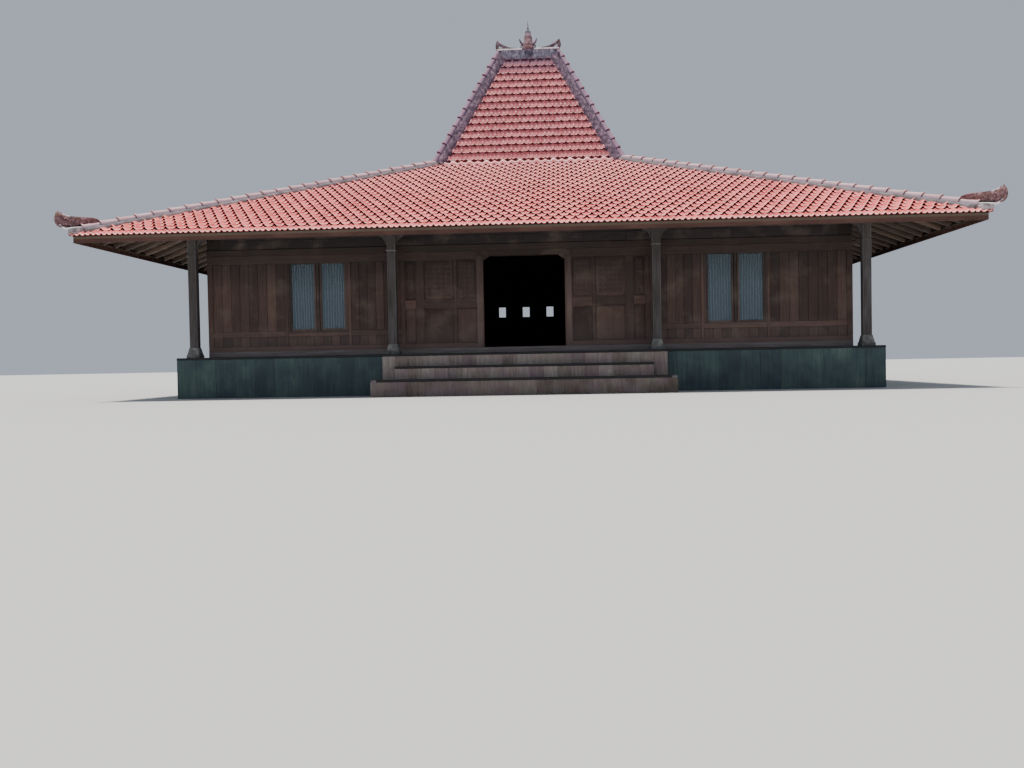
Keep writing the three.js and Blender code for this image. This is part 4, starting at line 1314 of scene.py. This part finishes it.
ORNAMENT_CLAY = finish("ornament clay", ornament_clay)
LIMEWASH = finish("limewash", blotted(0.08, ("f4f1f2", "dedadd", "a9a5ac"), (0.35, 0.6, 0.75), detail=4,
                                      roughness=0.85, depth=0.003))
PALE_MORTAR = finish("pale mortar", blotted(0.09, ("6f676b", "988f93", "bcb1b4")))
ORNAMENT_BACK = 0.62
BED_START = 0.30
BED_END = 0.60
BED_HALF = 0.09
LEAF_EDGES = [(0.0, 0.250, 0.300), (0.06, 0.235, 0.325), (0.146, 0.212, 0.343), (0.275, 0.180, 0.342),
              (0.42, 0.158, 0.339), (0.545, 0.135, 0.324), (0.616, 0.125, 0.330), (0.687, 0.125, 0.352),
              (0.745, 0.150, 0.380), (0.79, 0.21, 0.385)]
FLUTES = ((0.272, 0.011), (0.435, 0.011), (0.462, 0.007), (0.486, 0.007), (0.510, 0.007), (0.534, 0.007),
          (0.560, 0.010))
TEETH = ((0.585, 0.326), (0.610, 0.329), (0.635, 0.335), (0.660, 0.343), (0.685, 0.353), (0.708, 0.366))


def corner_place(points):
    """Lays points of the ornament on the front right corner: x out along the hip from its inner end, y across
    it, z up from the eaves."""
    inner = EAVE_Y - ORNAMENT_BACK / np.sqrt(2)
    out = np.array([1.0, -1.0, 0.0]) / np.sqrt(2)
    start = np.array([inner + SKEW, -inner, EAVE_Z])
    return start + points[:, :1] * out + points[:, 1:2] * ACROSS + points[:, 2:] * (0, 0, 1)


def leaf_body():
    """The leaf's mass. Its section is a squared ellipse between a lower and an upper edge, both smooth
    curves, and it swells a little into a drum before the head."""
    a, low, high = through(LEAF_EDGES, 60).T[..., None]
    thick = 0.044 + 0.010 * np.exp(-((a - 0.36) / 0.08) ** 4)
    angle = np.linspace(0, 2 * np.pi, 20, endpoint=False)
    squared = np.abs(np.cos(angle)) ** 0.7 * np.sign(np.cos(angle))
    return stacked(spread(a, thick * squared, (low + high) / 2 + (high - low) / 2 * np.sin(angle)))


def leaf_limbs():
    """What is carved over the mass: two leaf folds at the root, the curled chin, the three spikes of the
    plume, beads and flutes round the drum, and a volute on each cheek."""
    limbs = [
        stroke(16, (-0.01, 0.285, 0.012, 0.03), (0.08, 0.308, 0.020, 0.056), (0.19, 0.322, 0.020, 0.060),
               (0.265, 0.318, 0.008, 0.04)),
        stroke(16, (0.02, 0.245, 0.012, 0.03), (0.10, 0.255, 0.020, 0.058), (0.20, 0.245, 0.020, 0.062),
               (0.27, 0.225, 0.008, 0.04)),
        stroke(20, (0.58, 0.128, 0.012, 0.04), (0.68, 0.116, 0.018, 0.048), (0.765, 0.118, 0.018, 0.044),
               (0.815, 0.155, 0.014, 0.036), (0.800, 0.195, 0.008, 0.02)),
        stroke(18, (0.74, 0.18, 0.045, 0.046), (0.785, 0.27, 0.050, 0.042), (0.800, 0.345, 0.040, 0.034),
               (0.789, 0.424, 0.007, 0.010), sides=12),
        stroke(16, (0.79, 0.14, 0.028, 0.040), (0.830, 0.20, 0.026, 0.036), (0.840, 0.29, 0.020, 0.028),
               (0.830, 0.375, 0.006, 0.010)),
        stroke(14, (0.69, 0.28, 0.034, 0.046), (0.728, 0.33, 0.028, 0.036), (0.742, 0.398, 0.007, 0.012)),
    ]
    for a, wide in FLUTES:
        foot = 0.185 - (a - 0.272) * 0.19
        spine = ((a, foot, wide, 0.050), (a, foot + 0.07, wide, 0.060), (a, 0.330, wide, 0.046))
        limbs.append(stroke(10, *spine))
    turn = np.linspace(0, 2.6 * np.pi, 9)
    radius = 0.060 * np.exp(-0.19 * turn)
    volute = np.column_stack([0.645 + radius * np.cos(turn - 0.6), 0.235 + radius * np.sin(turn - 0.6),
                              0.016 - 0.001 * turn, np.full(9, 0.018)])
    limbs += [stroke(30, *volute, sides=8, side=side) for side in (-0.040, 0.040)]
    return joined(limbs)


def bed_top(a):
    """Height of the bed's top edge, which falls a little outwards."""
    return 0.126 - 0.138 * (a - 0.346)


def bed_section():
    """Mortar bed from under the leaf to past the corner, tapered at its outer end."""
    a = np.linspace(BED_START, BED_END, 12)[:, None]
    half = BED_HALF * np.sqrt(np.clip((BED_END + 0.03 - a) / 0.12, 0.25, 1))
    wobble = 0.004 * np.sin(60 * a)
    low = (ORNAMENT_BACK - a) * np.tan(LOWER_DROP) - 0.05 + 0.5 * np.maximum(a - 0.5, 0)
    side, level = np.array([(-1, 0), (1, 0), (1, 0.8), (0.86, 1), (-0.86, 1), (-1, 0.8)]).T
    return stacked(spread(a, (half + wobble) * side, low + (bed_top(a) - low) * level))


def lime_lip():
    """The limewashed edge that runs along the bed's top and out under the leaf's chin."""
    halves = ((0.335, 0.094), (0.45, 0.095), (0.58, 0.090))
    over = [(a, bed_top(a) + 0.002, 0.016, half) for a, half in halves]
    return stroke(14, *over, (0.66, 0.084, 0.015, 0.07), (0.735, 0.110, 0.009, 0.05))


def crest_teeth():
    """Small limewashed teeth along the top edge of the head, each a cone leaning outwards."""
    return [stroke(6, (a, z - 0.015, 0.012, 0.018), (a + 0.008, z + 0.008, 0.008, 0.012),
                   (a + 0.016, z + 0.024, 0.003, 0.004)) for a, z in TEETH]


leaf = joined([leaf_body(), leaf_limbs()]).placed(corner_place)
bed = bed_section().placed(corner_place)
# A near black rod under the leaf: painted shadow in the undercut between the leaf and its bed.
shadow_neck = stroke(8, *((a, 0.150 - 0.10 * (a - 0.33), 0.030, 0.045) for a in (0.31, 0.42, 0.53, 0.64)))
shadow_neck = shadow_neck.placed(corner_place)
lime = joined([lime_lip()] + crest_teeth()).placed(corner_place)
for corner, x, y in CORNERS:
    node = f"corner_ornament_{corner}"
    show(node + "_leaf", leaf.mirrored(x, y), ORNAMENT_CLAY, "ornament_clay", node, crease=50)
    show(node + "_bed", bed.mirrored(x, y), PALE_MORTAR, "ridge_mortar", node)
    show(node + "_neck", shadow_neck.mirrored(x, y), BLACK_STONE, "ridge_mortar", node)
    show(node + "_lime", lime.mirrored(x, y), LIMEWASH, "ridge_mortar", node)

# Ridge. A band of blue-grey mortar straddles the top of the four slopes, with a limewashed edge along its
# top and a pierced horn of the same mortar at each end.
BAND_MORTAR = finish("ridge band mortar", dark_mortar("343240", "5c5a6c", "918ea2"))
HORN_TINTS = ("3a2c33", "5d4a54", "897580")
HORN_MORTAR = finish("horn mortar", blotted(0.07, HORN_TINTS, roughness=0.85, depth=0.004))
BAND_HALF = 0.72
BAND_WIDE = 0.23
BAND_Z = 9.33
BAND_SECTION = np.array([(-1.0, 0.0), (-0.98, 0.35), (-0.86, 0.5), (-0.84, 0.9), (-0.78, 1.0), (0.78, 1.0),
                         (0.84, 0.9), (0.86, 0.5), (0.98, 0.35), (1.0, 0.0), (0.1, 0.86), (-0.1, 0.86)])
LIME_HALF = 0.86
LIME_TOP = BAND_Z + 0.016
SEAT_HALF = 0.17


def ridge_band():
    """The band's section of half widths and heights, carried along the ridge. It leans out towards its foot,
    and sines of two lengths make its sides uneven."""
    side, level = BAND_SECTION.T
    half_wide = BAND_WIDE / 2
    foot = RIDGE_Z - half_wide * np.tan(UPPER_PITCH) + 0.02
    t = np.linspace(-BAND_HALF, BAND_HALF, 36)[:, None]
    wobble = 0.003 * (np.sin(37 * t) + np.sin(61 * t + 1)) * side
    up = foot + (BAND_Z - foot) * level
    return stacked(spread(t * (1 + 0.19 * (1 - level)), side * half_wide + wobble, up))


def ridge_course(*x_ends):
    """Blocks along the top of the band, between two ends along it."""
    side = BAND_WIDE / 2 * 0.84
    return row(x_ends, (-side, side), (BAND_Z - 0.022, LIME_TOP), EASED)


show("ridge_band", ridge_band(), BAND_MORTAR, "ridge_mortar", "ridge")
lime_edge = joined([ridge_course(*spans(*x_ends, 0.3, 0.002))
                    for x_ends in ((-LIME_HALF, -SEAT_HALF), (SEAT_HALF, LIME_HALF))])
show("ridge_lime_edge", lime_edge, LIMEWASH, "ridge_mortar", "ridge")
show("ridge_finial_seat", ridge_course(-SEAT_HALF, SEAT_HALF), BAND_MORTAR, "ridge_mortar", "ridge")

# The right horn: a diagonal that sweeps up to the tip, a stout upright at the outer edge, a bar along the
# foot that runs out in a tail, and the rib between its two oval openings. The left one mirrors it.
right_horn = joined([
    stroke(22, (0.50, 0.050, 0.016, 0.026), (0.61, 0.072, 0.030, 0.034), (0.72, 0.112, 0.042, 0.038),
           (0.81, 0.172, 0.040, 0.034), (0.864, 0.266, 0.008, 0.010)),
    stroke(16, (0.826, 0.000, 0.044, 0.038), (0.860, 0.06, 0.046, 0.036), (0.866, 0.14, 0.044, 0.032),
           (0.868, 0.24, 0.016, 0.016)),
    stroke(18, (0.34, 0.036, 0.012, 0.018), (0.46, 0.038, 0.026, 0.030), (0.60, 0.030, 0.032, 0.034),
           (0.74, 0.012, 0.030, 0.036), (0.86, 0.014, 0.030, 0.036)),
    stroke(10, (0.685, 0.02, 0.028, 0.030), (0.695, 0.06, 0.018, 0.028), (0.71, 0.10, 0.024, 0.028)),
]).placed(moved(0, 0, LIME_TOP))
show("right_horn", right_horn, HORN_MORTAR, "ridge_mortar", "ridge", crease=50)
show("left_horn", right_horn.mirrored(-1, 1), HORN_MORTAR, "ridge_mortar", "ridge", crease=50)


# Finial. A bell-shaped pot of fired clay, turned with mouldings, with a dark knob and a spike on top and a
# curled fin on each side of its foot.
def lathe(profile, sides, flute=0.0):
    """Turned solid round the Z axis through radius and height rows. The radius swells by the flute's share of
    a cosine wave of eight lobes round the axis."""
    radius, z = np.asarray(profile, float).T[..., None]
    angle = np.linspace(0, 2 * np.pi, sides, endpoint=False)
    swollen = radius * (1 + flute * np.cos(8 * angle))
    return stacked(spread(swollen * np.cos(angle), swollen * np.sin(angle), z))


FINIAL_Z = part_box("finial")[0][2] - 0.0003
FINIAL_TINTS = ("593f42", "7d6065", "978089")


def finial_clay(place):
    """Orange-brown fired clay of the finial, greyed by lichen towards its top."""
    values = blotted(0.06, FINIAL_TINTS, roughness=0.8, depth=0.004)(place)
    grey = between(place.part("Z"), FINIAL_Z + 0.25, FINIAL_Z + 0.55)
    return {**values, "Base Color": blend(grey * 0.6, values["Base Color"], "857f8a")}


FINIAL_CLAY = finish("finial clay", finial_clay)
foot_rings = [(0.150, 0.0), (0.165, 0.008), (0.165, 0.030), (0.152, 0.038), (0.150, 0.05), (0.158, 0.058),
              (0.150, 0.068), (0.138, 0.076)]
body_rings = [(0.138, 0.076), (0.138, 0.13), (0.124, 0.20), (0.110, 0.27), (0.107, 0.32), (0.109, 0.352),
              (0.098, 0.372), (0.090, 0.382)]
neck_rings = [(0.096, 0.388), (0.090, 0.396), (0.086, 0.42), (0.084, 0.44), (0.078, 0.446), (0.066, 0.45)]
knob_rings = [(0.070, 0.446), (0.078, 0.456), (0.080, 0.485), (0.074, 0.512), (0.056, 0.528), (0.030, 0.538),
              (0.024, 0.548), (0.032, 0.560), (0.028, 0.58)]
spike_rings = [(0.024, 0.575), (0.022, 0.60), (0.028, 0.612), (0.018, 0.63), (0.011, 0.71), (0.001, 0.81)]
pot = joined([lathe(foot_rings, 32), lathe(through(body_rings, 26), 48, 0.035), lathe(neck_rings, 32)])
knob = joined([lathe(knob_rings, 24), lathe(spike_rings, 16)])
fin = joined([
    stroke(18, (0.110, 0.09, 0.036, 0.022), (0.155, 0.155, 0.034, 0.022), (0.205, 0.215, 0.028, 0.018),
           (0.246, 0.312, 0.009, 0.010)),
    stroke(20, (0.13, 0.03, 0.028, 0.022), (0.180, 0.052, 0.026, 0.020), (0.200, 0.10, 0.018, 0.016),
           (0.186, 0.13, 0.010, 0.012), (0.166, 0.11, 0.006, 0.008)),
])
fins = joined([fin, fin.mirrored(-1, 1)])
for name, shape, material in (("finial_pot", pot, FINIAL_CLAY), ("finial_knob", knob, BAND_MORTAR),
                              ("finial_fins", fins, HORN_MORTAR)):
    show(name, shape.placed(moved(0, 0, FINIAL_Z)), material, "ornament_clay", "finial", crease=50)
